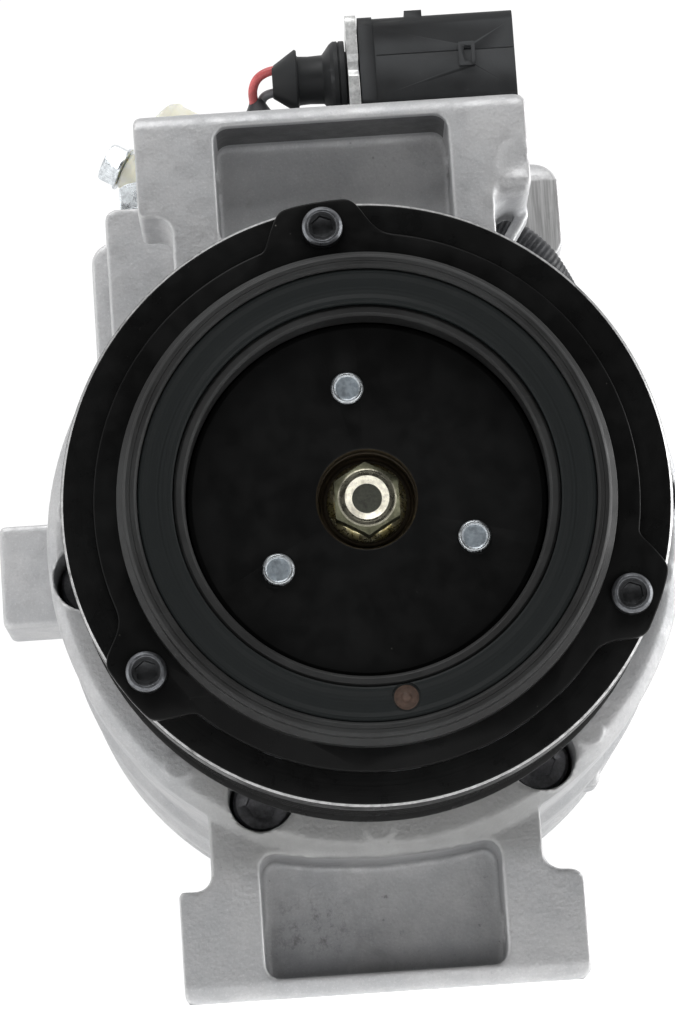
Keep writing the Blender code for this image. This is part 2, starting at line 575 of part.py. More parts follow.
def make_connector():
    yc, zc = 72.0, 107.2
    body = slab("connector_body", (6.2, 40.1), (62.0, 82.0), (96.9, 118.0), 2.2, "X")
    add(body, slab("nub", (16.6, 20.4), (61.2, 68.0), (112.0, 119.0), 0.0))
    add(body, slab("nub", (27.8, 31.4), (60.6, 64.0), (105.2, 110.6), 0.0))
    cut(body, slab("socket", (18.0, 45.0), (64.6, 79.4), (99.6, 115.2), 1.6, "X"))
    for dy in (-3.6, 3.6):
        add(body, slab("pin", (16.0, 33.0), (yc + dy - 0.7, yc + dy + 0.7), (106.0, 108.4), 0.0))

    bracket = prism("connector_bracket", rounded([(61.0, 96.9, 0.6), (61.0, 118.6, 2.0), (83.0, 118.6, 2.0),
                                                  (83.0, 98.0, 2.0), (75.4, 93.0, 1.0), (75.4, 79.0, 1.0),
                                                  (69.4, 79.0, 0.0), (69.4, 96.9, 0.0)], 3), 3.5, 5.9, "X")
    add(bracket, slab("foot", (4.6, 22.0), (69.4, 71.6), (79.6, 92.4), 1.0))
    cut(bracket, rod("hole", (0, yc, zc), (12, yc, zc), 6.4, 20))
    cut(bracket, rod("hole", (15, 66, 86), (15, 80, 86), 2.8, 14))
    screw = lathe("bracket_screw", [(64.2, 0), (64.2, 2.4), (71.9, 2.4), (71.9, 4.4), (74.2, 4.0), (75.0, 2.6),
                                    (75.0, 0)], 16, (15, 0, 86))
    cut(screw, prism("socket", [(15 + a, 86 + b) for a, b in hexagon(3.0, 0)], 73.4, 80))

    plug = lathe("connector_plug", [(-13.1, 0), (-13.1, 3.4), (-9.2, 6.0), (-7.9, 7.0), (-7.6, 5.4), (-1.2, 5.4),
                                    (-0.2, 7.6), (0.6, 8.2), (3.1, 8.2), (3.1, 5.8), (5.9, 5.8), (5.9, 0)],
                 20, (0, yc, zc), (1, 0, 0))
    holes = []
    for y, z in LEAD_STARTS:
        holes.append(rod("hole", (-16, y, z), (-9.5, y, z), 1.45, 8))
    cut(plug, *holes)

    for name, route in LEAD_ROUTES.items():
        sweep(name, route, 1.1, 2, 3)


LEAD_STARTS = ((71.0, 109.6), (74.0, 105.4))
LEAD_ROUTES = {
    "lead_red": [(-10.0, 71.0, 109.6), (-13.4, 71.0, 109.6), (-16.4, 71.8, 107.6), (-18.0, 73.4, 103.6),
                 (-17.7, 74.9, 99.3)],
    "lead_grey": [(-10.0, 74.0, 105.4), (-13.2, 74.0, 105.4), (-15.0, 75.2, 104.2), (-15.7, 76.6, 102.0),
                  (-15.3, 77.4, 99.3)],
}
SLEEVE_ROUTE = [(-16.4, 76.0, 98.8), (-16.6, 76.6, 94.0), (-14.4, 78.2, 86.5), (-6.0, 79.8, 79.0), (7.0, 80.2, 76.4),
                (20.0, 80.2, 76.0), (29.5, 80.0, 74.4), (36.6, 80.0, 71.2), (42.4, 80.8, 66.4), (46.0, 84.0, 61.5),
                (49.2, 90.0, 56.5), (52.2, 98.0, 51.8), (54.8, 107.0, 48.3), (57.4, 119.0, 45.6), (61.0, 138.0, 44.4),
                (66.4, 160.0, 46.8), (68.8, 175.0, 49.6), (70.2, 183.6, 48.4), (70.4, 186.0, 43.0),
                (70.4, 186.0, 36.6)]


def make_sleeve():
    sweep("lead_sleeve", SLEEVE_ROUTE, 4.0, 2, 2)


# ---------------------------------------------------------------- assembly
# colour, metallic, roughness
FINISHES = {
    "cast_aluminium": ((0.60, 0.61, 0.62), 0.85, 0.52),
    "black_steel": ((0.015, 0.015, 0.016), 0.1, 0.38),
    "damper_rubber": ((0.022, 0.025, 0.028), 0.0, 0.65),
    "zinc_steel": ((0.66, 0.69, 0.72), 1.0, 0.35),
    "yellow_zinc": ((0.60, 0.52, 0.28), 1.0, 0.32),
    "dark_steel": ((0.07, 0.07, 0.075), 0.9, 0.45),
    "bright_steel": ((0.55, 0.55, 0.57), 1.0, 0.25),
    "seal_rubber": ((0.03, 0.03, 0.03), 0.0, 0.7),
    "black_plastic": ((0.03, 0.03, 0.032), 0.0, 0.5),
    "cover_plastic": ((0.83, 0.80, 0.66), 0.0, 0.45),
    "galvanised": ((0.62, 0.63, 0.63), 0.9, 0.4),
    "red_insulation": ((0.55, 0.09, 0.08), 0.0, 0.45),
    "grey_insulation": ((0.28, 0.29, 0.31), 0.0, 0.45),
}
# first matching start of a name gives the finish
FINISH_OF = (
    ("pulley", "black_steel"), ("drive_plate", "black_steel"), ("hub_plate", "black_steel"),
    ("damper_sleeve", "black_steel"), ("damper_rubber", "damper_rubber"), ("drive_screw", "dark_steel"),
    ("hub_rivet", "zinc_steel"), ("centre_bolt", "yellow_zinc"), ("hub", "bright_steel"),
    ("front_housing", "cast_aluminium"), ("cylinder_block", "cast_aluminium"), ("rear_head", "cast_aluminium"),
    ("through_bolt", "dark_steel"), ("piston", "cast_aluminium"), ("shaft_seal", "seal_rubber"),
    ("transport_cover", "cover_plastic"), ("transport_bolt", "zinc_steel"), ("boss_bolt", "zinc_steel"),
    ("bracket_screw", "zinc_steel"), ("connector_bracket", "galvanised"), ("connector", "black_plastic"),
    ("control_valve", "black_plastic"), ("lead_red", "red_insulation"), ("lead_grey", "grey_insulation"),
    ("lead_sleeve", "black_plastic"), ("", "bright_steel"),
)
PULLEY_PARTS = ("pulley", "bearing_outer_ring", "bearing_balls", "drive_plate", "drive_screw", "damper_rubber")
SHAFT_PARTS = ("damper_sleeve", "hub", "centre_bolt", "shaft", "lug_plate")


def make_finish(name):
    colour, metallic, roughness = FINISHES[name]
    material = bpy.data.materials.new(name)
    material.use_nodes = True
    shader = material.node_tree.nodes["Principled BSDF"]
    shader.inputs["Base Color"].default_value = (*colour, 1)
    shader.inputs["Metallic"].default_value = metallic
    shader.inputs["Roughness"].default_value = roughness
    return material


def settle(ob, origin, parent):
    """Moves a finished part's origin to a point and hangs it on its parent."""
    point = at(origin)
    ob.data.transform(Matrix.Translation(-point))
    above = Vector((0, 0, 0))
    step = parent
    while step is not None:
        above += step.location
        step = step.parent
    ob.location = point - above
    ob.parent = parent
    ob.hide_render = False
    ob.display_type = "TEXTURED"
    CUTTERS.objects.unlink(ob)
    PARTS.objects.link(ob)


def make_empty(name, point, parent=None):
    ob = bpy.data.objects.new(name, None)
    ob.location = at(point) - (parent.location if parent else Vector((0, 0, 0)))
    ob.parent = parent
    ob.empty_display_size = 0.02
    PARTS.objects.link(ob)
    return ob


for ob in list(bpy.data.objects):
    bpy.data.objects.remove(ob)

PARTS = bpy.data.collections.new("air_conditioning_compressor")
CUTTERS = bpy.data.collections.new("cutters")
bpy.context.scene.collection.children.link(PARTS)
bpy.context.scene.collection.children.link(CUTTERS)
BODIES = {"housing": make_empty("housing_frame", -SHIFT)}
for body, point in (("pulley", (0, 0, 0)), ("shaft", (0, 0, 0)), ("swash", (0, SWASH_Y, PITCH_R))):
    BODIES[body] = make_empty(body + "_axis", point, BODIES["housing"])

make_pulley()
make_bearing()
make_drive()
make_front_housing()
make_block()
make_valve_plate()
make_rear_head()
make_through_bolts()
make_shaft()
make_swash()
copy_pistons(make_piston())
for number in range(CYLINDERS):
    make_shoes(number)
make_transport_cover()
make_boss_bolt()
make_control_valve()
make_connector()
make_sleeve()

for ob in sorted(CUTTERS.objects, key=lambda o: o.name):
    if ob.name.startswith("shoe_"):
        k = int(ob.name[-1])
        x, z = polar(PITCH_R, 90 + 60 * (k - 1))
        settle(ob, (x, SWASH_Y, z), BODIES["housing"])
    elif ob.name == "swash_plate":
        settle(ob, (0, SWASH_Y, PITCH_R), BODIES["swash"])
    elif ob.name.startswith(PULLEY_PARTS):
        settle(ob, (0, 0, 0), BODIES["pulley"])
    elif ob.name.startswith(SHAFT_PARTS) and ob.name != "shaft_seal":
        settle(ob, (0, 0, 0), BODIES["shaft"])
    else:
        settle(ob, (0, 0, 0), BODIES["housing"])

materials = {name: make_finish(name) for name in FINISHES}
for ob in PARTS.objects:
    if ob.type == "MESH":
        finish = next(f for start, f in FINISH_OF if ob.name.startswith(start))
        if not ob.data.materials:
            ob.data.materials.append(materials[finish])
            ob.data.shade_smooth()
            ob.data.set_sharp_from_angle(angle=math.radians(32))
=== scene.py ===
import math

import bmesh
import bpy
from mathutils import Matrix, Vector, noise as mnoise


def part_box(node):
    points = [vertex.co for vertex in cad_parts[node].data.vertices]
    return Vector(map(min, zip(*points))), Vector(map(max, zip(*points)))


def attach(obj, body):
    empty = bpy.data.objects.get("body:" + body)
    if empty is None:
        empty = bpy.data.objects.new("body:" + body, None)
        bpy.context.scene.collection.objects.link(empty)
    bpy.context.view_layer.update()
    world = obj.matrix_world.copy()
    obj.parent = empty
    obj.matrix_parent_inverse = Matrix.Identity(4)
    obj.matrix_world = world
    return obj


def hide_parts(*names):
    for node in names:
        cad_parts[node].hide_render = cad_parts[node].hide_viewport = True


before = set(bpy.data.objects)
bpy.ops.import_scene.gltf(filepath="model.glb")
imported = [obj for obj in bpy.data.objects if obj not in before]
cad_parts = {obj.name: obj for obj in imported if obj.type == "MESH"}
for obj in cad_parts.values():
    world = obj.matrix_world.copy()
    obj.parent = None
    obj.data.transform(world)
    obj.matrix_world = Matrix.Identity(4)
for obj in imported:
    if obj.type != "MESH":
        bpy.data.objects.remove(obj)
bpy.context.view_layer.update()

# Working axes in millimetres: shaft along Y, pulley rim front face y = 0,
# shaft axis x = z = 0, Z up.  ORIGIN is that point in the frame's metres.
MM = 0.001
lo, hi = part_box("pulley")
ORIGIN = Vector(((lo[0] + hi[0]) / 2, lo[1], (lo[2] + hi[2]) / 2))


# ---- shape tools
def polar(radius, degrees):
    a = math.radians(degrees)
    return radius * math.cos(a), radius * math.sin(a)


def at(point):
    return ORIGIN + Vector(point) * MM


def basis(direction):
    z = Vector(direction).normalized()
    if abs(z.x) > 0.999:
        x = Vector((0, 1, 0))
    elif abs(z.y) > 0.999 or abs(z.z) > 0.999:
        x = Vector((1, 0, 0))
    else:
        x = z.cross(Vector((0, 1, 0))).normalized()
    return x, z.cross(x), z


def into_scene(name, data):
    ob = bpy.data.objects.new(name, data)
    bpy.context.scene.collection.objects.link(ob)
    return ob


def as_object(name, bm):
    mesh = bpy.data.meshes.new(name)
    bm.to_mesh(mesh)
    bm.free()
    return into_scene(name, mesh)


def emit(name, bm):
    """A bmesh in working millimetres to an object in frame metres."""
    bmesh.ops.recalc_face_normals(bm, faces=bm.faces)
    for v in bm.verts:
        v.co = at(v.co)
    return as_object(name, bm)


def fillet(points, steps=4, closed=True):
    """(a, b[, radius]) corners to points, each radius turned into an arc."""
    out = []
    count = len(points)
    for i, item in enumerate(points):
        a, b = item[0], item[1]
        radius = item[2] if len(item) > 2 else 0.0
        if radius <= 0 or (not closed and i in (0, count - 1)):
            out.append((a, b))
            continue
        p = Vector((a, b))
        u = Vector(points[i - 1][:2]) - p
        v = Vector(points[(i + 1) % count][:2]) - p
        room = min(u.length, v.length) * 0.48
        u.normalize()
        v.normalize()
        half = u.angle(v) / 2
        if half > 1.53:
            out.append((a, b))
            continue
        radius = min(radius, room * math.tan(half))
        reach = radius / math.tan(half)
        centre = p + (u + v).normalized() * (radius / math.sin(half))
        start, end = p + u * reach - centre, p + v * reach - centre
        a0 = math.atan2(start.y, start.x)
        turn = math.atan2(end.y, end.x) - a0
        turn = (turn + math.pi) % (2 * math.pi) - math.pi
        for k in range(steps + 1):
            t = a0 + turn * k / steps
            out.append((centre.x + radius * math.cos(t), centre.y + radius * math.sin(t)))
    return out


def lathe(name, profile, n=96, origin=(0, 0, 0), direction=(0, 1, 0), phase=0.0, soft=0.0):
    """Turned shape from (along, radius[, fillet]) points; radius 0 closes on the axis."""
    points = [tuple(p) if len(p) > 2 else (p[0], p[1], soft if p[1] > 0 else 0.0) for p in profile]
    opened = profile[0][1] <= 0 or profile[-1][1] <= 0
    points = fillet(points, 3, not opened)
    x, y, z = basis(direction)
    o = Vector(origin)
    bm = bmesh.new()
    rings = []
    for along, radius in points:
        if radius <= 1e-6:
            rings.append([bm.verts.new(o + z * along)])
        else:
            ring = []
            for k in range(n):
                a = 2 * math.pi * k / n + math.radians(phase)
                spoke = x * (radius * math.cos(a)), y * (radius * math.sin(a))
                ring.append(bm.verts.new(o + z * along + spoke[0] + spoke[1]))
            rings.append(ring)
    pairs = list(zip(rings, rings[1:])) + ([] if opened else [(rings[-1], rings[0])])
    for a, b in pairs:
        for k in range(n):
            j = (k + 1) % n
            if len(a) == 1 and len(b) == 1:
                continue
            if len(a) == 1:
                bm.faces.new((a[0], b[k], b[j]))
            elif len(b) == 1:
                bm.faces.new((a[k], a[j], b[0]))
            else:
                bm.faces.new((a[k], a[j], b[j], b[k]))
    return emit(name, bm)


def rod(name, start, end, radius, n=32, phase=0.0, soft=0.0):
    start, end = Vector(start), Vector(end)
    length = (end - start).length
    return lathe(name, [(0, 0), (0, radius), (length, radius), (length, 0)], n, start, end - start, phase, soft)


PLACES = {"X": lambda a, b, c: (c, a, b), "Y": lambda a, b, c: (a, c, b), "Z": lambda a, b, c: (a, b, c)}


def prism(name, outline, low, high, axis="Y"):
    """An outline (a, b) drawn out from c = low to high; axis is a letter or a function of a, b, c."""
    place = PLACES.get(axis, axis)
    bm = bmesh.new()
    near = [bm.verts.new(place(a, b, low)) for a, b in outline]
    far = [bm.verts.new(place(a, b, high)) for a, b in outline]
    bm.faces.new(near)
    bm.faces.new(far[::-1])
    for i in range(len(outline)):
        j = (i + 1) % len(outline)
        bm.faces.new((near[i], near[j], far[j], far[i]))
    return emit(name, bm)


def slab(name, x, y, z, radius=0.0, axis="Y"):
    """A block, with its edges along the axis rounded."""
    (a0, a1), (b0, b1), (low, high) = (x, z, y) if axis == "Y" else (y, z, x)
    corners = ((a0, b0), (a1, b0), (a1, b1), (a0, b1))
    return prism(name, fillet([(a, b, radius) for a, b in corners], 5), low, high, axis)


def settle(ob):
    """Applies the modifiers."""
    graph = bpy.context.evaluated_depsgraph_get()
    mesh = bpy.data.meshes.new_from_object(ob.evaluated_get(graph))
    ob.modifiers.clear()
    ob.data = mesh
    return ob


def combine(ob, how, others):
    for other in others:
        mod = ob.modifiers.new("cut", "BOOLEAN")
        mod.operation = how
        mod.solver = "EXACT"
        mod.object = other
        settle(ob)
        bpy.data.objects.remove(other)
        bm = bmesh.new()
        bm.from_mesh(ob.data)
        bmesh.ops.remove_doubles(bm, verts=bm.verts, dist=1e-6)
        bmesh.ops.dissolve_degenerate(bm, edges=bm.edges, dist=1e-6)
        bm.to_mesh(ob.data)
        bm.free()
    return ob


def add(ob, *others):
    return combine(ob, "UNION", others)


def cut(ob, *others):
    return combine(ob, "DIFFERENCE", others)


def keep(ob, *others):
    return combine(ob, "INTERSECT", others)


def bevel(ob, width, segments=2, angle=28):
    mod = ob.modifiers.new("edge", "BEVEL")
    mod.width = width * MM
    mod.segments = segments
    mod.limit_method = "ANGLE"
    mod.angle_limit = math.radians(angle)
    mod.use_clamp_overlap = True
    return settle(ob)


def cast(ob, voxel, passes):
    """Rounds every edge the way a casting's are."""
    mod = ob.modifiers.new("cast", "REMESH")
    mod.mode = "VOXEL"
    mod.voxel_size = voxel * MM * 1.0
    mod.use_smooth_shade = True
    mod = ob.modifiers.new("round", "SMOOTH")
    mod.factor = 0.5
    mod.iterations = passes
    return settle(ob)


def drill(ob, x, z, low, high, radius, n=24, phase=0.0):
    """A round hole along Y."""
    return cut(ob, rod("hole", (x, low, z), (x, high, z), radius, n, phase))


def hexagon(flats, turn, centre=(0, 0)):
    corners = [polar(flats / math.sqrt(3), 60 * k + turn) for k in range(6)]
    return [(centre[0] + a, centre[1] + b) for a, b in corners]


def off_axis(p, x=0.0, z=0.0):
    return math.hypot(p.x - x, p.z - z)


def smooth_line(route, fine):
    pts = [Vector(p) for p in route]
    line = []
    for i in range(len(pts) - 1):
        p0, p1 = pts[max(i - 1, 0)], pts[i]
        p2, p3 = pts[i + 1], pts[min(i + 2, len(pts) - 1)]
        for k in range(fine):
            t = k / fine
            line.append(0.5 * ((2 * p1) + (p2 - p0) * t + (2 * p0 - 5 * p1 + 4 * p2 - p3) * t * t
                               + (3 * p1 - p0 - 3 * p2 + p3) * t ** 3))
    return line + [pts[-1]]


def even(line, step):
    """The same line with points a fixed step apart."""
    out = [line[0].copy()]
    left = step
    for a, b in zip(line, line[1:]):
        length = (b - a).length
        done = 0.0
        while length - done >= left:
            done += left
            out.append(a.lerp(b, done / length))
            left = step
        left -= length - done
    out.append(line[-1].copy())
    return out


def tube(name, line, radius_at, n=20):
    """A round tube along points; radius_at(distance) gives each ring."""
    bm = bmesh.new()
    up = Vector((0.13, 0.2, 0.97)).normalized()
    rings, distance = [], 0.0
    for i, p in enumerate(line):
        if i:
            distance += (p - line[i - 1]).length
        t = (line[min(i + 1, len(line) - 1)] - line[max(i - 1, 0)]).normalized()
        side = (up - t * up.dot(t)).normalized()
        up = side
        other = t.cross(side)
        r = radius_at(distance)
        turns = [2 * math.pi * k / n for k in range(n)]
        rings.append([bm.verts.new(p + side * (r * math.cos(a)) + other * (r * math.sin(a))) for a in turns])
    for a, b in zip(rings, rings[1:]):
        for k in range(n):
            j = (k + 1) % n
            bm.faces.new((a[k], a[j], b[j], b[k]))
    bm.faces.new(rings[0])
    bm.faces.new(rings[-1][::-1])
    return emit(name, bm)


def finish(ob, material, body, *nodes, angle=32):
    """Material, shading and body of a finished piece, and the CAD nodes that it stands for."""
    ob.data.materials.clear()
    ob.data.materials.append(material)
    ob.data.shade_smooth()
    if angle:
        ob.data.set_sharp_from_angle(angle=math.radians(angle))
    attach(ob, body)
    if nodes:
        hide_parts(*nodes)
    return ob


def paint(ob, material, test):
    """Gives the faces whose middle passes the test another material."""
    index = len(ob.data.materials)
    ob.data.materials.append(material)
    for poly in ob.data.polygons:
        p = (poly.center - ORIGIN) / MM
        if test(p, poly.normal):
            poly.material_index = index


# ---- material tools
def shade(tone, *factors, lift=0.0):
    """A colour or a grey times one factor or three, and no brighter than white."""
    colour = tone if isinstance(tone, tuple) else (tone,) * 3
    factors = factors * 3 if len(factors) == 1 else factors
    return tuple(min(1.0, c * f + lift) for c, f in zip(colour, factors))


class Paint:
    """A Principled material being put together from nodes; colour is what its layers come to so far."""

    def __init__(self, name, colour, metallic=0.0, rough=0.5, specular=0.5):
        self.material = bpy.data.materials.new(name)
        self.material.use_nodes = True
        self.tree = self.material.node_tree
        self.shader = self.tree.nodes["Principled BSDF"]
        self.set("Base Color", (*colour, 1.0))
        self.set("Metallic", metallic)
        self.set("Roughness", rough)
        self.set("Specular IOR Level", specular)
        self.where = self.tree.nodes.new("ShaderNodeTexCoord").outputs["Object"]
        self.normal = None
        self.colour = None

    def set(self, socket, value):
        self.shader.inputs[socket].default_value = value

    def link(self, socket, value):
        self.tree.links.new(value, self.shader.inputs[socket])

    def feed(self, socket, value):
        if isinstance(value, bpy.types.NodeSocket):
            self.tree.links.new(value, socket)
        else:
            socket.default_value = value

    def node(self, kind, settings=None, **inputs):
        """A node; inputs go by name, or by number as i0, i1 and so on."""
        node = self.tree.nodes.new(kind)
        for key, value in (settings or {}).items():
            setattr(node, key, value)
        for key, value in inputs.items():
            numbered = key[0] == "i" and key[1:].isdigit()
            self.feed(node.inputs[int(key[1:]) if numbered else key.replace("_", " ")], value)
        return node

    def noise(self, size, detail=3.0, rough=0.55, distortion=0.0):
        """Noise whose features are about size millimetres."""
        return self.node("ShaderNodeTexNoise", i0=self.where, Scale=1000.0 / size, Detail=detail,
                         Roughness=rough, Distortion=distortion).outputs["Fac"]

    def streaks(self, scale, detail, rough, turn=(0, 0, 0)):
        """Noise drawn out by a different scale along each axis."""
        drawn = self.node("ShaderNodeMapping", i0=self.where, Scale=scale, Rotation=turn).outputs[0]
        return self.node("ShaderNodeTexNoise", i0=drawn, Scale=1.0, Detail=detail, Roughness=rough).outputs["Fac"]

    def turned(self, scale, detail, rough):
        """Rings round the shaft axis, as a lathe or a mould leaves them."""
        x, _, z = self.place()
        x = self.math("SUBTRACT", x, ORIGIN.x)
        z = self.math("SUBTRACT", z, ORIGIN.z)
        r = self.math("SQRT", self.math("ADD", self.times(x, x), self.times(z, z)))
        return self.node("ShaderNodeTexNoise", {"noise_dimensions": "1D"}, W=self.times(r, 1000.0), Scale=scale,
                         Detail=detail, Roughness=rough).outputs["Fac"]

    def cells(self, size):
        return self.node("ShaderNodeTexVoronoi", i0=self.where, Scale=1000.0 / size).outputs["Distance"]

    def flecks(self, size, edge, where, low, high):
        """Small round specks, only where the noise is high."""
        return self.times(self.span(self.cells(size), 0.0, edge, 1.0, 0.0), self.span(where, low, high))

    def place(self):
        """The object's own x, y and z, in metres."""
        return tuple(self.node("ShaderNodeSeparateXYZ", i0=self.where).outputs)

    def math(self, how, a, b=0.0):
        node = self.node("ShaderNodeMath", {"operation": how})
        self.feed(node.inputs[0], a)
        self.feed(node.inputs[1], b)
        return node.outputs[0]

    def times(self, a, b):
        return self.math("MULTIPLY", a, b)

    def span(self, value, a, b, out_a=0.0, out_b=1.0):
        """out_a below a, out_b above b, and smooth between."""
        return self.node("ShaderNodeMapRange", {"clamp": True, "interpolation_type": "SMOOTHSTEP"}, i0=value, i1=a,
                         i2=b, i3=out_a, i4=out_b).outputs[0]

    def near(self, value, middle, inner, outer):
        """1 within inner of the middle, and 0 beyond outer."""
        return self.span(self.math("ABSOLUTE", self.math("SUBTRACT", value, middle)), inner, outer, 1.0, 0.0)

    def mix(self, factor, a, b):
        node = self.node("ShaderNodeMix", {"data_type": "RGBA"})
        self.feed(node.inputs[0], factor)
        for index, colour in ((6, a), (7, b)):
            self.feed(node.inputs[index], (*colour, 1.0) if isinstance(colour, tuple) else colour)
        return node.outputs[2]

    def base(self, value, low, high, dark, light):
        """The first layer of colour: dark where value is low, light where it is high."""
        self.colour = self.mix(self.span(value, low, high), dark, light)

    def tint(self, mask, colour):
        """One more layer of colour, as strong as the mask."""
        self.colour = self.mix(mask, self.colour, colour)

    def coat(self, value=None, low=0.3, high=0.7, smooth=0.5, dull=0.5):
        """Connects the colour, and a roughness between smooth and dull."""
        self.link("Base Color", self.colour)
        if value is not None:
            self.link("Roughness", self.span(value, low, high, smooth, dull))

    def bump(self, height, depth, strength):
        """depth is the real height in millimetres of a full step."""
        node = self.node("ShaderNodeBump", Strength=strength, Distance=depth * MM, Height=height)
        if self.normal is not None:
            self.tree.links.new(self.normal, node.inputs["Normal"])
        self.normal = node.outputs[0]
        self.link("Normal", self.normal)

    def pointed(self):
        return self.tree.nodes.new("ShaderNodeNewGeometry").outputs["Pointiness"]


# ---- materials
def cast_aluminium(name, tone=0.50, stain=0.0, rough=0.5, painted_pulley_shade=False):
    """Die-cast aluminium: fine skin, soft blotches, painted shade in hollows, brighter on worn edges, and on request
    painted shade under the pulley.
    """
    p = Paint(name, shade(tone, 1.0), 0.55, rough, 0.5)
    speck = p.noise(1.3, 5.0, 0.82)
    fine = p.noise(0.5, 3.0, 0.75)
    p.base(p.noise(22.0, 5.0, 0.66), 0.36, 0.66, shade(tone, 0.90, 0.91, 0.93), shade(tone, 1.07, 1.07, 1.08))
    p.tint(p.span(speck, 0.62, 0.80, 0.0, 0.32), shade(tone, 1.45))
    p.tint(p.span(speck, 0.24, 0.42, 0.55, 0.0), shade(tone, 0.50, 0.51, 0.53))
    p.tint(p.span(fine, 0.52, 0.70, 0.0, 0.30), shade(tone, 1.5))
    p.tint(p.span(fine, 0.28, 0.46, 0.30, 0.0), shade(tone, 0.62))
    # pits, rub marks and smut
    p.tint(p.times(p.flecks(4.2, 0.10, p.noise(5.0, 2.0), 0.56, 0.62), 0.7), shade(tone, 0.22, 0.21, 0.20))
    p.tint(p.span(p.noise(9.0, 6.0, 0.78, 0.7), 0.60, 0.74, 0.0, 0.30), shade(tone, 1.45))
    p.tint(p.span(p.noise(13.0, 6.0, 0.75, 0.5), 0.58, 0.78, 0.0, 0.26), shade(tone, 0.42, 0.41, 0.39))
    # worn edges rubbed brighter, and painted shade that darkens the hollows
    edge = p.pointed()
    p.tint(p.span(edge, 0.515, 0.56, 0.0, 0.55), shade(tone, 1.5))
    p.tint(p.span(edge, 0.42, 0.487, 0.62, 0.0), shade(tone, 0.30, 0.30, 0.31))
    if stain:
        x, _, z = p.place()
        # a dirty smear low on the pocket's floor, left of its middle, and a thinner film and dots all over
        patch = p.times(p.near(x, ORIGIN.x - 0.0165, 0.003, 0.012), p.near(z, ORIGIN.z - 0.0795, 0.002, 0.009))
        smear = p.streaks((300.0, 300.0, 240.0), 8.0, 0.8, (0.0, 0.3, 0.0))
        p.tint(p.times(p.times(p.span(smear, 0.47, 0.66), patch), stain), (0.055, 0.050, 0.046))
        p.tint(p.span(p.noise(11.0, 5.0, 0.72, 0.6), 0.50, 0.78, 0.0, stain * 0.45), (0.13, 0.125, 0.115))
        p.tint(p.span(p.noise(2.0, 4.0, 0.7), 0.66, 0.72, 0.0, stain * 0.8), (0.05, 0.045, 0.042))
    if painted_pulley_shade:
        # painted shade on the front of the flange, under the pulley, where the pulley's shadow falls
        x, y, z = p.place()
        lower = p.span(z, ORIGIN.z - 0.046, ORIGIN.z - 0.036, 1.0, 0.0)
        upper = p.span(z, ORIGIN.z - 0.072, ORIGIN.z - 0.064, 0.0, 1.0)
        front = p.span(y, ORIGIN.y + 0.0445, ORIGIN.y + 0.0470, 1.0, 0.0)
        pulley_shade = p.times(p.times(p.near(x, ORIGIN.x, 0.024, 0.052), lower), p.times(upper, front))
        p.tint(p.times(pulley_shade, 0.8), shade(tone, 0.50, 0.50, 0.49))
    p.coat(p.noise(4.0, 4.0, 0.6), smooth=rough - 0.08, dull=rough + 0.12)
    p.bump(p.noise(9.0, 3.0, 0.5), 0.12, 0.7)
    p.bump(p.math("ADD", speck, p.times(p.cells(0.9), 0.7)), 0.08, 0.8)
    p.bump(fine, 0.035, 0.8)
    return p.material


def machined(name, tone=0.62, across=(1, 0, 0), metallic=0.85, depth=0.02):
    """Milled aluminium: fine parallel tool lines."""
    p = Paint(name, shade(tone, 1.0), metallic, 0.36, 0.5)
    lines = p.streaks([2600.0 if a else 90.0 for a in across], 3.0, 0.6)
    p.base(lines, 0.35, 0.65, shade(tone, 0.86), shade(tone, 1.12))
    p.tint(p.span(p.noise(7.0, 4.0, 0.6), 0.55, 0.75, 0.0, 0.35), shade(tone, 0.62))
    p.coat(lines, smooth=0.28, dull=0.46)
    p.bump(lines, depth, 0.6)
    return p.material


def black_coat(name, tone=0.010, rough=0.30, specular=0.30, dust=0.5, rings=0.0):
    """Black electro-coat over pressed or turned steel, with dust and hairline scratches."""
    p = Paint(name, shade(tone, 1.0, 1.0, 0.96), 0.0, rough, specular)
    p.base(p.noise(30.0, 4.0, 0.6), 0.35, 0.7, shade(tone, 0.8), shade(tone, 1.5, 1.55, 1.55))
    p.tint(p.times(p.flecks(2.6, 0.085, p.noise(3.3, 2.0, 0.5), 0.60, 0.68), dust), (0.30, 0.29, 0.27))
    p.tint(p.span(p.noise(17.0, 5.0, 0.72), 0.56, 0.84, 0.0, 0.05 * dust), (0.16, 0.155, 0.15))
    scratch = p.streaks((60.0, 60.0, 2400.0), 2.0, 0.5, (0.0, 0.62, 0.0))
    p.tint(p.span(scratch, 0.735, 0.77, 0.0, 0.20 * dust), (0.14, 0.14, 0.14))
    p.coat(p.noise(6.0, 4.0, 0.6), smooth=rough - 0.06, dull=rough + 0.12)
    if rings:
        p.bump(p.turned(1.6, 4.0, 0.75), 0.05 * rings, 0.6)
    p.bump(p.noise(1.3, 3.0, 0.6), 0.012, 0.6)
    return p.material


def rubber(name, tone=(0.0060, 0.0078, 0.0080)):
    """Moulded rubber with the faint circular marks of its mould and a little bloom."""
    p = Paint(name, tone, 0.0, 0.6, 0.22)
    turned = p.turned(2.2, 5.0, 0.8)
    p.base(turned, 0.35, 0.7, shade(tone, 0.75), shade(tone, 1.45))
    p.tint(p.span(p.noise(14.0, 5.0, 0.7), 0.55, 0.8, 0.0, 0.07), (0.05, 0.055, 0.055))
    p.tint(p.times(p.flecks(2.1, 0.08, p.noise(3.0), 0.6, 0.68), 0.45), (0.22, 0.22, 0.21))
    p.coat(turned, smooth=0.48, dull=0.66)
    p.bump(turned, 0.05, 0.6)
    p.bump(p.noise(0.6, 3.0, 0.6), 0.02, 0.7)
    return p.material


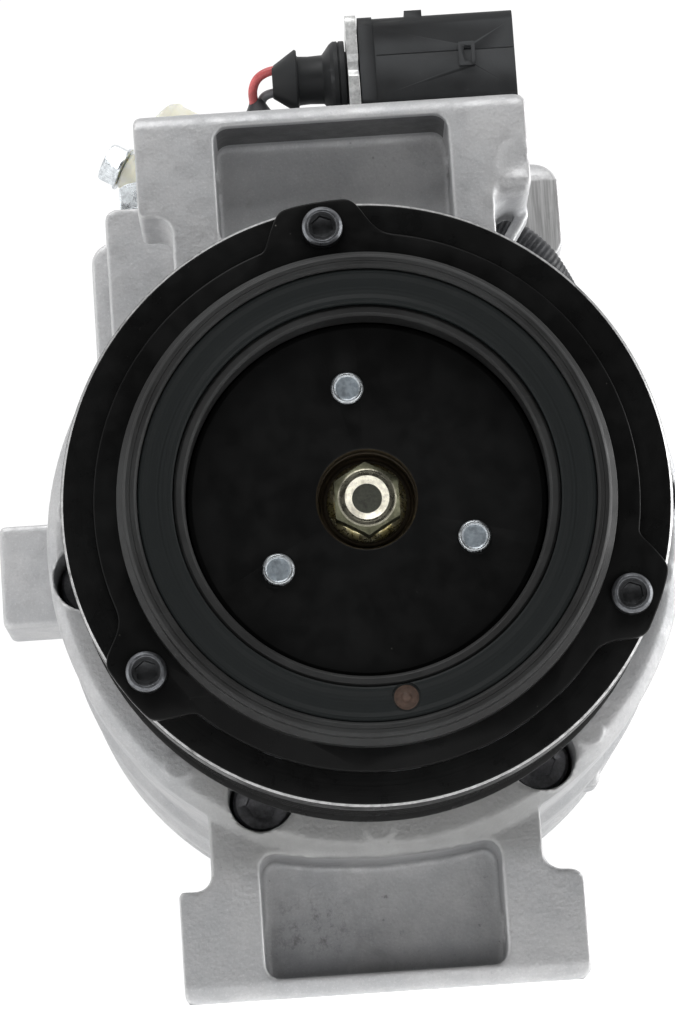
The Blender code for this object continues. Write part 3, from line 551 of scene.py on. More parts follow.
def plated(name, tone, rough=0.3, metallic=1.0, stain=(0.2, 0.2, 0.2), amount=0.3, scale=1.0):
    """Zinc-plated or bare steel: crystalline shimmer, smuts, worn edges."""
    p = Paint(name, tone, metallic, rough, 0.5)
    shimmer = p.noise(0.9 * scale, 4.0, 0.7)
    smut = p.noise(3.2 * scale, 5.0, 0.7, 0.4)
    p.base(shimmer, 0.35, 0.65, shade(tone, 0.82), shade(tone, 1.2))
    p.tint(p.span(smut, 0.52, 0.74, 0.0, amount), stain)
    p.tint(p.span(p.pointed(), 0.54, 0.62, 0.0, 0.5), shade(tone, 1.2))
    p.coat(smut, smooth=rough - 0.07, dull=rough + 0.18)
    p.bump(shimmer, 0.02, 0.6)
    p.bump(p.noise(0.25, 2.0, 0.5), 0.006, 0.5)
    return p.material


def passivated(name):
    """Yellow-passivated zinc, sliding between straw, olive and brown."""
    p = Paint(name, (0.62, 0.55, 0.30), 0.95, 0.26, 0.5)
    fine = p.noise(0.8, 4.0, 0.7)
    p.base(p.noise(4.0, 4.0, 0.65, 0.8), 0.34, 0.66, (0.40, 0.34, 0.14), (0.80, 0.76, 0.54))
    p.tint(p.span(fine, 0.56, 0.75, 0.0, 0.45), (0.24, 0.17, 0.07))
    p.coat(fine, smooth=0.18, dull=0.40)
    p.bump(fine, 0.03, 0.6)
    return p.material


def oily_bronze(name):
    """The hub's recess: turned steel under a brown oil film."""
    p = Paint(name, (0.035, 0.026, 0.015), 0.35, 0.42, 0.3)
    turned = p.turned(3.0, 4.0, 0.7)
    p.base(turned, 0.3, 0.7, (0.016, 0.012, 0.008), (0.055, 0.042, 0.026))
    p.tint(p.span(p.noise(2.5, 4.0, 0.7), 0.58, 0.75, 0.0, 0.4), (0.11, 0.085, 0.035))
    p.coat(turned, smooth=0.28, dull=0.5)
    p.bump(turned, 0.04, 0.6)
    return p.material


def plastic(name, tone=(0.014, 0.0150, 0.0160), rough=0.5, wear=0.35, grain=1.0):
    """Glass-filled nylon: matt moulded grain, scuffed corners."""
    p = Paint(name, tone, 0.0, rough, 0.3)
    cloud = p.noise(8.0, 4.0, 0.6)
    p.base(cloud, 0.35, 0.7, shade(tone, 0.85), shade(tone, 1.35))
    p.tint(p.span(p.pointed(), 0.53, 0.62, 0.0, wear), shade(tone, 4.0, lift=0.04))
    p.tint(p.span(p.noise(2.6, 5.0, 0.75), 0.60, 0.74, 0.0, wear * 0.5), shade(tone, 2.6, lift=0.02))
    p.coat(cloud, smooth=rough - 0.06, dull=rough + 0.14)
    p.bump(p.noise(0.45, 3.0, 0.6), 0.03 * grain, 0.7)
    p.bump(cloud, 0.05 * grain, 0.4)
    return p.material


def cream_cover(name):
    """Soft translucent polythene."""
    p = Paint(name, (0.86, 0.84, 0.70), 0.0, 0.42, 0.45)
    p.set("Subsurface Weight", 0.45)
    p.set("Subsurface Radius", (1.0, 0.9, 0.6))
    p.set("Subsurface Scale", 0.004)
    p.set("Transmission Weight", 0.25)
    cloud = p.noise(5.0, 4.0, 0.6)
    p.base(cloud, 0.35, 0.7, (0.88, 0.86, 0.72), (0.93, 0.92, 0.83))
    p.coat()
    p.bump(cloud, 0.08, 0.5)
    p.bump(p.noise(0.7, 3.0, 0.6), 0.02, 0.5)
    return p.material


def insulation(name, tone):
    """Lead insulation: smooth, a little greasy, with fine flow lines."""
    p = Paint(name, tone, 0.0, 0.38, 0.5)
    cloud = p.noise(3.0, 4.0, 0.6)
    p.base(cloud, 0.35, 0.7, shade(tone, 0.75), shade(tone, 1.2))
    p.coat(cloud, smooth=0.32, dull=0.5)
    p.bump(p.noise(0.3, 3.0, 0.6), 0.01, 0.5)
    return p.material


# the main casting carries painted shade under the pulley
CAST = cast_aluminium("cast_aluminium", painted_pulley_shade=True)
CAST_REAR = cast_aluminium("cast_aluminium_rear", 0.54)
POCKET = cast_aluminium("pocket_floor", 0.44, 0.55, 0.55)
# a lighter copy of the casting: painted light on the upper pocket's enclosed floor
POCKET_FLOOR_LIT = cast_aluminium("pocket_floor_upper_painted_light", 0.58, 0.0, 0.55)
# a much darker copy of the casting: painted shade for the pocket's downward-facing roof
CAST_ROOF_SHADE = cast_aluminium("pocket_roof_painted_shade", 0.15, 0.0, 0.6)
DRAWN = machined("fettled_ear_face", 0.50, (1, 0, 0), 0.45, 0.004)
MILLED_X = machined("milled_ear_end", 0.66, (0, 0, 1))
MILLED_Y = machined("milled_joint", 0.60, (1, 0, 0))
BLACK_PLATE = black_coat("black_coat_plate", 0.0034, 0.32, 0.13, 0.5)
BLACK_PULLEY = black_coat("black_coat_pulley", 0.0040, 0.30, 0.14, 0.45, 1.0)
BLACK_HUB = black_coat("black_coat_hub", 0.0034, 0.36, 0.12, 0.25)
RING_COAT = black_coat("black_coat_collar", 0.0180, 0.42, 0.28, 0.5, 1.2)
WORN_EDGE_AND_HIGHLIGHT = plated("worn_steel_edge_and_highlight", (0.42, 0.42, 0.42), 0.34, 0.9, (0.05, 0.05, 0.05), 0.75, 1.2)
DAMPER = rubber("damper_rubber")
RUST = plated("rust_spot", (0.075, 0.045, 0.032), 0.6, 0.1, (0.02, 0.015, 0.012), 0.5)
ZINC = plated("bright_zinc", (0.70, 0.735, 0.76), 0.24, 1.0, (0.30, 0.33, 0.36), 0.45)
ZINC_CUP = plated("zinc_cup", (0.30, 0.34, 0.375), 0.42, 0.9, (0.10, 0.12, 0.14), 0.6)
SCREW_STEEL = plated("screw_steel", (0.035, 0.036, 0.038), 0.36, 0.85, (0.02, 0.02, 0.02), 0.5)
RIM_WEAR_AND_HIGHLIGHT = plated("rim_wear_and_highlight", (0.15, 0.155, 0.165), 0.34, 0.9, (0.06, 0.06, 0.06), 0.5)
BOLT_STEEL = plated("bolt_steel", (0.20, 0.20, 0.21), 0.36, 0.9, (0.03, 0.026, 0.02), 0.5)
PASSIVATED = passivated("yellow_zinc")
BOLT_SIDE = plated("olive_hex_side", (0.10, 0.10, 0.065), 0.30, 0.9, (0.03, 0.025, 0.012), 0.6)
BOLT_TOP = plated("olive_top_ring", (0.24, 0.23, 0.18), 0.24, 1.0, (0.05, 0.045, 0.03), 0.5, 0.7)
BOLT_FUNNEL = plated("pale_funnel", (0.84, 0.80, 0.68), 0.42, 0.55, (0.42, 0.40, 0.24), 0.5, 1.2)
BOLT_FLOOR = plated("forged_dish", (0.045, 0.047, 0.036), 0.55, 0.3, (0.014, 0.014, 0.010), 0.8, 0.8)
RECESS = oily_bronze("oiled_recess")
STEEL = plated("ground_steel", (0.56, 0.56, 0.57), 0.22, 1.0, (0.30, 0.28, 0.24), 0.25)
GALVANISED = plated("galvanised_sheet", (0.66, 0.665, 0.66), 0.36, 0.9, (0.36, 0.36, 0.34), 0.4, 2.2)
PLASTIC = plastic("black_nylon")
PLUG = plastic("black_plug", (0.013, 0.014, 0.015), 0.5, 0.3, 0.8)
SLEEVING = plastic("ribbed_sleeve", (0.030, 0.031, 0.034), 0.42, 0.25, 0.6)
COVER = cream_cover("cream_cover")
RED = insulation("red_insulation", (0.70, 0.14, 0.14))
GREY = insulation("grey_insulation", (0.24, 0.245, 0.26))
SEAL = rubber("seal_rubber", (0.02, 0.02, 0.02))
GASKET = plated("gasket_steel", (0.30, 0.30, 0.31), 0.4, 0.8, (0.10, 0.09, 0.08), 0.5)


# ---- drive end
LOBE_ANGLES = (95.4, 214.9, 336.0)
SCREW_R = 55.6
RIVET_R = 22.6
RIVET_ANGLES = (96.2, 215.4, 336.6)
GROOVES = 6
GROOVE_PITCH = 3.56


def make_pulley():
    profile = [(0.0, 51.5, 0.4), (0.0, 60.35, 0.35), (0.65, 61.0, 0.3), (7.4, 61.0, 0.25), (7.4, 60.4, 0.1)]
    y = 8.3
    for _ in range(GROOVES):
        profile += [(y, 60.4, 0.22), (y + 1.5, 57.75, 0.3), (y + 1.9, 57.75, 0.3)]
        y += GROOVE_PITCH
    profile += [(y - 0.06, 60.4, 0.2), (y + 0.5, 61.0, 0.3), (31.4, 61.0, 0.3), (32.0, 60.4, 0.3), (32.0, 51.5, 0.4),
                (16.0, 51.5, 2.4), (16.0, 31.0, 2.4), (29.0, 31.0, 0.6), (29.0, 26.3, 0.4),
                (7.0, 26.3, 0.4), (7.0, 31.0, 1.0), (12.0, 31.0, 2.4), (12.0, 51.5, 2.4)]
    pulley = lathe("pulley_body", profile, 180)
    for angle in LOBE_ANGLES:
        x, z = polar(SCREW_R, angle)
        drill(pulley, x, z, -1, 7.6, 2.8)
    finish(pulley, BLACK_PULLEY, "pulley_group", "pulley")
    # the coat is rubbed through along the front corner of the rim, and this bright band is also a painted edge
    # highlight
    paint(pulley, WORN_EDGE_AND_HIGHLIGHT, lambda p, n: 0.1 < p.y < 0.36 and off_axis(p) > 60.2)


def lobed_outline():
    """The plate's edge: a circle with a lobe, given as (degrees from its screw, radius), at each screw."""
    lobe = [(14.6, 54.3), (13.4, 54.42), (12.3, 55.2), (10.7, 57.3), (9.2, 59.2), (8.0, 60.55), (6.6, 61.25),
            (3.2, 61.4), (0.0, 61.4), (-3.2, 61.4), (-5.4, 61.3), (-7.0, 60.3), (-8.2, 58.8), (-9.4, 57.2),
            (-10.5, 56.0), (-11.8, 55.05), (-13.2, 54.5), (-15.0, 54.3)]
    outline = []
    for k, angle in enumerate(LOBE_ANGLES):
        smooth = smooth_line([(a, r, 0) for a, r in lobe[::-1]], 4)
        outline += [polar(p.y, angle + p.x) for p in smooth]
        after = LOBE_ANGLES[(k + 1) % 3] + (360 if k == 2 else 0)
        start, end = angle + lobe[0][0], after + lobe[-1][0]
        steps = 44
        outline += [polar(lobe[0][1], start + (end - start) * i / steps) for i in range(1, steps)]
    return outline


def make_drive_plate():
    plate = prism("lobed_plate", lobed_outline(), -2.4, -0.3)
    drill(plate, 0, 0, -4, 1, 47.2, 150, 1.1)
    for angle in LOBE_ANGLES:
        x, z = polar(SCREW_R, angle)
        drill(plate, x, z, -4, 1, 2.8)
    bevel(plate, 0.38, 3)
    finish(plate, BLACK_PLATE, "pulley_group", "drive_plate")
    # the edge is rubbed bright in places, and this lighter band is also a painted edge highlight
    paint(plate, RIM_WEAR_AND_HIGHLIGHT, lambda p, n: off_axis(p) > 53.9 and -1.9 < p.y < -0.75 and abs(n.y) < 0.4
          and mnoise.noise(p * 0.16) > 0.12)
    profile = [(-9.35, 45.35, 0.15), (-10.0, 45.9, 0.25), (-10.0, 46.55, 0.1), (-9.75, 46.75, 0.1),
               (-10.0, 46.95, 0.1), (-10.0, 47.55, 0.25), (-9.4, 48.2, 0.4), (-6.6, 48.25, 0.5),
               (-5.7, 49.55, 0.45), (-2.1, 49.6, 0.2), (-2.1, 45.35, 0.2)]
    collar = lathe("damper_collar", profile, 180)
    finish(collar, RING_COAT, "pulley_group")


def make_drive_screws():
    profile = [(-5.0, 0), (-5.0, 2.7, 0.2), (-5.3, 2.95, 0.15), (-5.3, 3.45, 0.25), (-4.75, 4.1, 0.3),
               (-2.7, 4.1, 0.1), (-2.7, 2.45), (6.9, 2.45), (7.3, 2.0), (7.3, 0)]
    for k, angle in enumerate(LOBE_ANGLES):
        x, z = polar(SCREW_R, angle)
        screw = lathe(f"screw_{k + 1}", profile, 56, (x, 0, z))
        cut(screw, prism("socket", hexagon(4.0, angle + 4, (x, z)), -7, -3.2))
        bevel(screw, 0.09, 2)
        finish(screw, SCREW_STEEL, "pulley_group", f"drive_screw_{k + 1}")
        # painted highlight: a lighter ring round the socket on the head's top
        paint(screw, RIM_WEAR_AND_HIGHLIGHT, lambda p, n: p.y < -4.6 and 2.85 < off_axis(p, x, z) < 4.0)


def make_damper():
    profile = [(-8.95, 38.35, 0.15), (-9.2, 38.75, 0.2), (-9.2, 39.3, 0.3), (-8.85, 40.2, 0.8), (-8.7, 41.8, 3.0),
               (-8.85, 43.4, 0.8), (-9.2, 44.3, 0.3), (-9.2, 44.75, 0.2), (-8.95, 45.2, 0.15),
               (-1.6, 45.2, 0.2), (-1.6, 38.35, 0.2)]
    ring = lathe("rubber_ring", profile, 180)
    x, z = polar(41.0, -83.1)
    dimple = [(-12, 0), (-12, 3.2), (-8.8, 2.9), (-8.3, 2.45), (-7.9, 2.2), (-7.9, 0)]
    cut(ring, lathe("dimple", dimple, 40, (x, 0, z)))
    finish(ring, DAMPER, "pulley_group", "damper_rubber", angle=40)
    paint(ring, RUST, lambda p, n: -8.1 < p.y < -7.5 and off_axis(p, x, z) < 2.4)
    pip = lathe("dimple_pip", [(-8.35, 0), (-8.25, 0.7, 0.3), (-7.9, 1.1), (-7.85, 0)], 24, (x, 0, z))
    finish(pip, RUST, "pulley_group")
    sleeve = lathe("inner_sleeve", [(-7.6, 36.0, 0.2), (-8.2, 36.55, 0.3), (-8.2, 37.65, 0.3), (-7.7, 38.2, 0.3),
                                    (-0.9, 38.2, 0.2), (-0.9, 36.0, 0.3)], 180)
    finish(sleeve, RING_COAT, "shaft_group", "damper_sleeve")


def make_hub():
    disc = [(-2.4, 9.9, 0.5), (-2.4, 34.7, 0.5), (-1.9, 35.6, 0.3), (0.5, 35.6, 0.2), (0.5, 9.9, 0.2)]
    plate = lathe("hub_disc", disc, 160)
    body = [(0.8, 9.7, 0.2), (0.8, 28.0, 0.3), (4.2, 28.0, 0.3), (4.2, 12.0, 0.3), (18.0, 12.0, 0.3), (18.0, 8.3, 0.3),
            (6.0, 8.3), (6.0, 4.4), (3.4, 4.4, 0.2), (3.4, 8.6, 0.6), (2.6, 9.3, 0.3)]
    hub = lathe("hub_body", body, 96)
    profile = [(-3.42, 0), (-3.35, 1.6), (-3.42, 2.35, 0.1), (-3.7, 2.55, 0.08), (-3.7, 2.9, 0.15),
               (-3.3, 3.25, 0.15), (-2.7, 3.25, 0.05), (-2.7, 2.05), (4.5, 2.05), (4.5, 3.0), (5.4, 2.4, 0.3), (5.4, 0)]
    for k, angle in enumerate(RIVET_ANGLES):
        x, z = polar(RIVET_R, angle)
        drill(plate, x, z, -4, 2, 2.4)
        drill(hub, x, z, -1, 6, 2.4)
        rivet = lathe(f"rivet_{k + 1}", profile, 56, (x, 0, z))
        finish(rivet, ZINC, "shaft_group", f"hub_rivet_{k + 1}")
        paint(rivet, ZINC_CUP, lambda p, n: p.y < -3.2 and off_axis(p, x, z) < 2.3)
    bevel(plate, 0.2, 2)
    finish(plate, BLACK_HUB, "shaft_group", "hub_plate")
    paint(plate, RECESS, lambda p, n: off_axis(p) < 10.15)
    finish(hub, RECESS, "shaft_group", "hub")


def make_centre_bolt():
    bolt = prism("hex_head", hexagon(12.8, -90), -4.4, 1.6)
    keep(bolt, lathe("chamfer", [(-4.4, 0), (-4.4, 5.5), (-4.15, 5.85), (-3.0, 7.6), (2.5, 7.6), (2.5, 0)], 72))
    add(bolt, lathe("flange", [(0.6, 0), (0.6, 6.6, 0.5), (1.5, 8.0, 0.5), (3.1, 8.0, 0.3), (3.1, 4.0), (21.5, 4.0),
                               (22.3, 3.2), (22.3, 0)], 72, phase=2.0))
    cut(bolt, lathe("dish", [(-3.1, 0), (-3.15, 2.9, 0.3), (-4.6, 4.65), (-6.0, 4.65), (-6.0, 0)], 60, phase=4.0))
    cut(bolt, lathe("groove", [(-4.1, 4.9), (-4.1, 5.15), (-5.0, 5.15), (-5.0, 4.9)], 60, phase=1.0))
    bevel(bolt, 0.14, 2, 24)
    finish(bolt, PASSIVATED, "shaft_group", "centre_bolt")
    paint(bolt, BOLT_SIDE, lambda p, n: p.y < 0.5 and off_axis(p) > 5.75)
    paint(bolt, BOLT_TOP, lambda p, n: p.y < -4.0 and 4.55 < off_axis(p) < 5.75)
    paint(bolt, BOLT_FUNNEL, lambda p, n: p.y < -3.1 and 3.0 < off_axis(p) < 4.68 and n.y > -0.97)
    paint(bolt, BOLT_FLOOR, lambda p, n: p.y < -2.9 and off_axis(p) < 3.05)


# ---- castings
FLANGE_Y = 43.0
BODY_R = 66.8
JOINT_R = 67.4
BOLT_R = 58.8
BOLT_ANGLES = [4.6 + 60.0 * k for k in range(6)]
EAR_Y = (45.0, 69.0)
EAR_BORE_R = 4.5
BOLT_WAY_R = 4.4
PORT_AXIS = Vector((-math.cos(math.radians(30)), 0, math.sin(math.radians(30))))
PORT_CENTRE = Vector((-38.5, 128.8, 108.0))
PORT_SIDE = Vector((-0.5 * 8.2, 0, -0.866 * 8.2))  # from the cap's middle to its bolt


def ear_solid(side):
    outline = [(-36.6, 50.5), (-36.6, 71.6, 3.2), (-43.5, 71.6, 0.8), (-43.5, 94.6, 1.6), (40.5, 94.6, 2.6),
               (40.5, 71.8, 3.2), (32.2, 71.8, 4.4), (32.2, 50.5)]
    web = prism("ear", [(a, side * b) for a, b in fillet(outline, 6)], *EAR_Y)
    y0, y1 = EAR_Y
    shape = fillet([(y0, 40), (y0, 94.6, 3.5), (y1, 94.6, 6.0), (y1, 40)], 6)
    keep(web, prism("shape", [(a, side * b) for a, b in shape], -60, 60, "X"))
    if side > 0:
        # the right wing rolls under at its lower front edge, and a thin rib carries on down from it
        roll = 4
        arc = [(y0 + roll + a, 75.7 + b) for a, b in (polar(roll, t) for t in range(270, 179, -10))]
        corner = [(y0 - 2, 69.0), (y0 + roll, 69.0)] + arc + [(y0 - 2, 75.7)]
        cut(web, prism("roll", corner, 32.5, 45.0, "X"))
        add(web, prism("rib", [(40.3, 73.0), (40.3, 70.8), (32.9, 59.5), (30.9, 60.6), (38.0, 72.2)], 61.5, 68.4))
    return web


def ear_pocket(side):
    outline = fillet([(-26.5, 90.6, 3.0), (23.5, 90.6, 3.0), (23.5, 64.4, 3.0), (12.0, 66.4), (-1.5, 67.2),
                      (-15.0, 66.4), (-26.5, 64.4, 3.0)], 6)
    return prism("pocket", [(a, side * b) for a, b in outline], 40, 62)


def in_pocket(p, side, grow=0.0):
    return -26.5 - grow < p.x < 23.5 + grow and 64.0 - grow < side * p.z < 90.6 + grow


def bolt_holes(ob, low, high, radius, n=32):
    for angle in BOLT_ANGLES:
        x, z = polar(BOLT_R, angle)
        drill(ob, x, z, low, high, radius, n)


def make_front_housing():
    outer = [(4.8, 0), (4.8, 17.2), (6.0, 17.2), (6.0, 16.4), (7.5, 16.4), (7.5, 17.2), (28.4, 17.2),
             (28.4, 22.5), (31.5, 22.5), (36.5, 44.0), (FLANGE_Y, 53.0), (FLANGE_Y, 64.4),
             (44.8, BODY_R), (66.0, BODY_R), (68.0, 65.6), (104.0, 65.6), (107.0, JOINT_R), (116.0, JOINT_R),
             (116.0, 0)]
    body = lathe("front_casting", outer, 144)
    add(body, ear_solid(+1), ear_solid(-1))
    add(body, slab("boss", (-52.6, -34.5), (92.0, 115.7), (44.0, 85.9), 2.5))
    # the mould's round marks on the flange
    for x, z in ((-1.3, -61.0), (-42.1, -45.7), (43.6, -44.4), (60.9, -12.0), (-61.3, 9.5)):
        add(body, rod("mark", (x, 42.55, z), (x, 46.0, z), 3.0, 28, soft=0.2))
    inside = [(50.0, 0), (50.0, 49.0), (52.0, 51.0), (66.0, 51.0), (68.0, 52.4), (130.0, 52.4), (130.0, 0)]
    cut(body, lathe("inside", inside, 96, phase=1.3))
    shaft_way = [(0.0, 0), (0.0, 13.2), (34.0, 13.2), (34.0, 11.0), (54.0, 11.0), (54.0, 0)]
    cut(body, lathe("shaft_way", shaft_way, 48, phase=2.35))
    cut(body, ear_pocket(+1), ear_pocket(-1))
    for side in (+1, -1):
        cut(body, rod("bore", (-60, 57.0, side * 82.0), (60, 57.0, side * 82.0), EAR_BORE_R, 36))
    dent = [(43.0, 0), (43.0, 6.2), (45.1, 4.6, 1.5), (45.9, 2.0, 1.5), (46.0, 0)]
    cut(body, lathe("dent", dent, 32, (37.6, 0, 79.6)))
    bolt_holes(body, 40.0, 63.3, 7.0)
    bolt_holes(body, 60.0, 130.0, BOLT_WAY_R, 20)
    cut(body, rod("tapped", (-43.6, 103.0, 95.0), (-43.6, 103.0, 70.0), 3.4, 24))
    cut(body, rod("tapped", (15.0, 63.6, 86.0), (15.0, 75.0, 86.0), 2.7, 20))
    cast(body, 0.62, 4)
    finish(body, CAST, "housing", "front_housing", angle=0)
    # the lower floor carries real stains; the upper floor gets the lighter copy, painted light
    for side, floor in ((-1, POCKET), (1, POCKET_FLOOR_LIT)):
        paint(body, floor, lambda p, n: 60.9 < p.y < 62.4 and in_pocket(p, side) and n.y < -0.55)
    # painted shade: the upper pocket's roof gets the dark copy of the casting
    paint(body, CAST_ROOF_SHADE, lambda p, n: 46.4 < p.y < 60.4 and p.z > 89.1 and in_pocket(p, 1, 0.6))
    paint(body, MILLED_X, lambda p, n: abs(n.x) > 0.985 and abs(p.z) > 72.2 and (p.x < -43.2 or p.x > 40.2))
    paint(body, MILLED_Y, lambda p, n: n.y > 0.985 and p.y > 115.6)


def make_block():
    y0, y1 = 116.4, 156.0
    block = lathe("block_casting", [(y0, 0), (y0, JOINT_R), (124.0, JOINT_R), (126.0, 66.0), (148.0, 66.0),
                                    (150.0, JOINT_R), (y1, JOINT_R), (y1, 0)], 144)
    add(block, slab("boss", (-57.3, -34.0), (y0 + 0.4, 150.0), (42.0, 84.4), 5.0))
    ear = prism("ear", fillet([(5.0, 52.0), (5.0, 97.7, 5.0), (51.4, 97.7, 7.0), (51.4, 73.7, 5.0),
                               (34.0, 73.7, 3.0), (34.0, 52.0)], 6), 117.0, 141.0)
    shape = fillet([(117.0, 40), (117.0, 97.7, 5.0), (141.0, 97.7, 5.0), (141.0, 40)], 6)
    keep(ear, prism("shape", shape, -10, 60, "X"))
    add(block, ear)
    outline = fillet([(-22.0, -50.0), (-22.0, -94.6, 3.0), (18.0, -94.6, 3.0), (18.0, -50.0)], 6)
    foot = prism("foot", outline, 119.0, 141.0)
    shape = fillet([(119.0, -40), (119.0, -94.6, 4.0), (141.0, -94.6, 4.0), (141.0, -40)], 6)
    keep(foot, prism("shape", shape, -60, 60, "X"))
    add(block, foot)
    add(block, slab("lug", (38.0, 50.3), (117.0, 130.0), (-48.3, -36.0), 2.0))
    # the refrigerant port's neck, and the column that carries it
    c, u = PORT_CENTRE, PORT_AXIS
    add(block, rod("neck", c - u * 24, c - u * 9.3, 10.5, 48))
    low = c - u * 22
    add(block, rod("neck", (low.x, low.y, 55.0), (low.x, low.y, low.z + 3.0), 10.2, 48))
    cut(block, rod("port", c - u * 19, c + u * 2, 6.0, 28))
    for k in range(6):
        x, z = polar(37.0, 90 + 60 * k)
        drill(block, x, z, 110, 165, 15.0, 48)
    drill(block, 0, 0, 110, 165, 9.7, 32, 3.1)
    bolt_holes(block, 110, 165, BOLT_WAY_R, 20)
    cut(block, rod("bore", (0, 129.0, 85.7), (60, 129.0, 85.7), EAR_BORE_R, 32))
    cut(block, rod("bore", (-40, 130.0, -82.0), (40, 130.0, -82.0), EAR_BORE_R, 32))
    cast(block, 0.72, 4)
    finish(block, CAST_REAR, "housing", "cylinder_block", angle=0)
    paint(block, MILLED_X, lambda p, n: abs(n.x) > 0.985
          and ((p.x > 51.1 and p.z > 74) or (p.z < -70 and (p.x < -21.7 or p.x > 17.7))))
    paint(block, DRAWN, lambda p, n: n.y < -0.9 and p.y < 118.2 and 30.0 < p.x and 74.0 < p.z < 92.5)
    paint(block, MILLED_Y, lambda p, n: abs(n.y) > 0.985 and (p.y < 116.8 or p.y > 155.6) and off_axis(p) < 67.5)


def make_rear_head():
    head = lathe("head_casting", [(159.8, 0), (159.8, JOINT_R), (168.0, JOINT_R), (170.0, 66.0), (199.0, 65.0),
                                  (205.0, 60.0), (208.0, 52.0), (208.0, 0)], 144)
    add(head, slab("boss", (-85.3, -52.0), (163.0, 187.0), (3.0, 27.7), 1.2))
    add(head, rod("valve_boss", (40.0, 186.0, 22.0), (65.6, 186.0, 22.0), 12.6, 56))
    # a shallow ring and six short scallops cast into the rear face
    cut(head, lathe("ring", [(207.0, 36.0, 0.5), (207.0, 41.0, 0.5), (210.0, 42.0), (210.0, 35.0)], 96))
    for k in range(6):
        x0, z0 = polar(43.5, 34.6 + 60 * k)
        x1, z1 = polar(57.0, 34.6 + 60 * k)
        cut(head, rod("scallop", (x0, 206.9, z0), (x1, 206.0, z1), 2.0, 16))
    drill(head, 0, 0, 150, 192, 22.0, 48, 1.7)  # suction chamber
    cut(head, lathe("discharge", [(150, 31.0), (150, 49.5), (174, 49.5), (174, 31.0)], 64, phase=2.6))
    cut(head, rod("valve_bore", (34.0, 186.0, 22.0), (80.0, 186.0, 22.0), 8.7, 36))
    cut(head, rod("tapped", (-90.0, 175.0, 15.3), (-64.0, 175.0, 15.3), 3.4, 28))
    bolt_holes(head, 150, 192, BOLT_WAY_R, 20)
    cast(head, 0.75, 4)
    finish(head, CAST_REAR, "housing", "rear_head", angle=0)
    paint(head, MILLED_X, lambda p, n: n.x < -0.985 and p.x < -84.9)
    paint(head, MILLED_Y, lambda p, n: n.y < -0.985 and p.y < 160.2)


def make_valve_plate():
    ob = lathe("port_plate", [(156.4, 0), (156.4, 66.6, 0.2), (159.4, 66.6, 0.2), (159.4, 0)], 144)
    bolt_holes(ob, 150, 165, BOLT_WAY_R, 20)
    finish(ob, GASKET, "housing", "valve_plate")


def make_through_bolts():
    profile = [(55.0, 0), (55.0, 5.6, 0.2), (55.6, 6.2, 0.2), (63.0, 6.2), (63.0, 4.0), (189.4, 4.0), (190.0, 3.4),
               (190.0, 0)]
    for k, angle in enumerate(BOLT_ANGLES):
        x, z = polar(BOLT_R, angle)
        bolt = lathe(f"long_bolt_{k + 1}", profile, 48, (x, 0, z))
        cut(bolt, prism("socket", hexagon(6.0, angle, (x, z)), 50, 58))
        bevel(bolt, 0.12, 2)
        finish(bolt, BOLT_STEEL, "housing", f"through_bolt_{k + 1}")


# ---- fittings
def make_transport_cover():
    c, u = PORT_CENTRE, PORT_AXIS
    cap = [(-9.0, 0), (-9.0, 11.0), (-8.4, 11.6), (-6.2, 11.6), (-5.8, 11.2), (1.4, 11.2), (1.8, 11.6), (2.2, 11.6),
           (4.2, 10.4), (5.4, 8.0), (6.0, 4.0), (6.2, 0)]
    cover = lathe("port_cover", cap, 72, c, u)
    side = c + PORT_SIDE
    add(cover, rod("pad", side - u * 4, side + u * 7.0, 4.4, 40))
    cut(cover, rod("hole", side - u * 12, side + u * 10, 1.9, 24))
    cast(cover, 0.35, 3)
    finish(cover, COVER, "housing", "transport_cover", angle=0)
    x, y, _ = basis(u)
    washer = [(7.3, 0), (7.3, 5.2, 0.15), (8.0, 5.2, 0.15), (8.0, 3.0), (9.0, 3.0), (9.0, 0)]
    bolt = lathe("port_bolt", washer, 48, side, u)
    hexa = prism("hex", hexagon(8.6, 12), 7.7, 12.0, lambda a, b, c: side + u * c + x * a + y * b)
    keep(hexa, lathe("chamfer", [(7.0, 0), (7.0, 5.0), (11.2, 5.0), (12.0, 4.2), (12.0, 0)], 48, side, u, 5.0))
    add(bolt, hexa, rod("shank", side - u * 16.5, side + u * 8.2, 1.45, 20))
    bevel(bolt, 0.12, 2)
    finish(bolt, ZINC, "housing", "transport_bolt")


def make_boss_bolt():
    x, y, z = foot = (-43.6, 103.0, 86.2)
    up = (0, 0, 1)
    screw = [(-14.0, 0), (-14.0, 3.2), (0.0, 3.2), (0.0, 6.6, 0.2), (1.2, 6.6, 0.25), (1.2, 0)]
    bolt = lathe("boss_screw", screw, 56, foot, up)
    hexa = prism("hex", hexagon(11.4, 30, (x, y)), z + 0.6, z + 7.2, "Z")
    keep(hexa, lathe("chamfer", [(0.0, 0), (0.0, 6.5), (6.3, 6.5), (7.2, 5.3), (7.2, 0)], 56, foot, up, 3.0))
    add(bolt, hexa)
    bevel(bolt, 0.15, 2)
    finish(bolt, ZINC, "housing", "boss_bolt")


def make_control_valve():
    can = [(36.0, 0), (36.0, 7.0), (38.0, 8.2), (66.0, 8.2), (66.0, 10.0, 0.2), (67.0, 10.6, 0.4), (69.6, 10.6, 0.15),
           (69.9, 10.2, 0.15), (70.7, 10.2, 0.15), (71.0, 10.6, 0.15), (73.6, 10.6, 0.5), (75.2, 9.0, 0.5),
           (75.2, 6.5, 0.2), (74.8, 6.2, 0.2), (74.8, 0)]
    valve = lathe("valve_can", can, 72, (0, 186.0, 22.0), (1, 0, 0))
    add(valve, rod("outlet", (70.4, 186.0, 30.0), (70.4, 186.0, 35.4), 3.4, 32, soft=0.3))
    bevel(valve, 0.2, 2)
    finish(valve, PLASTIC, "housing", "control_valve")


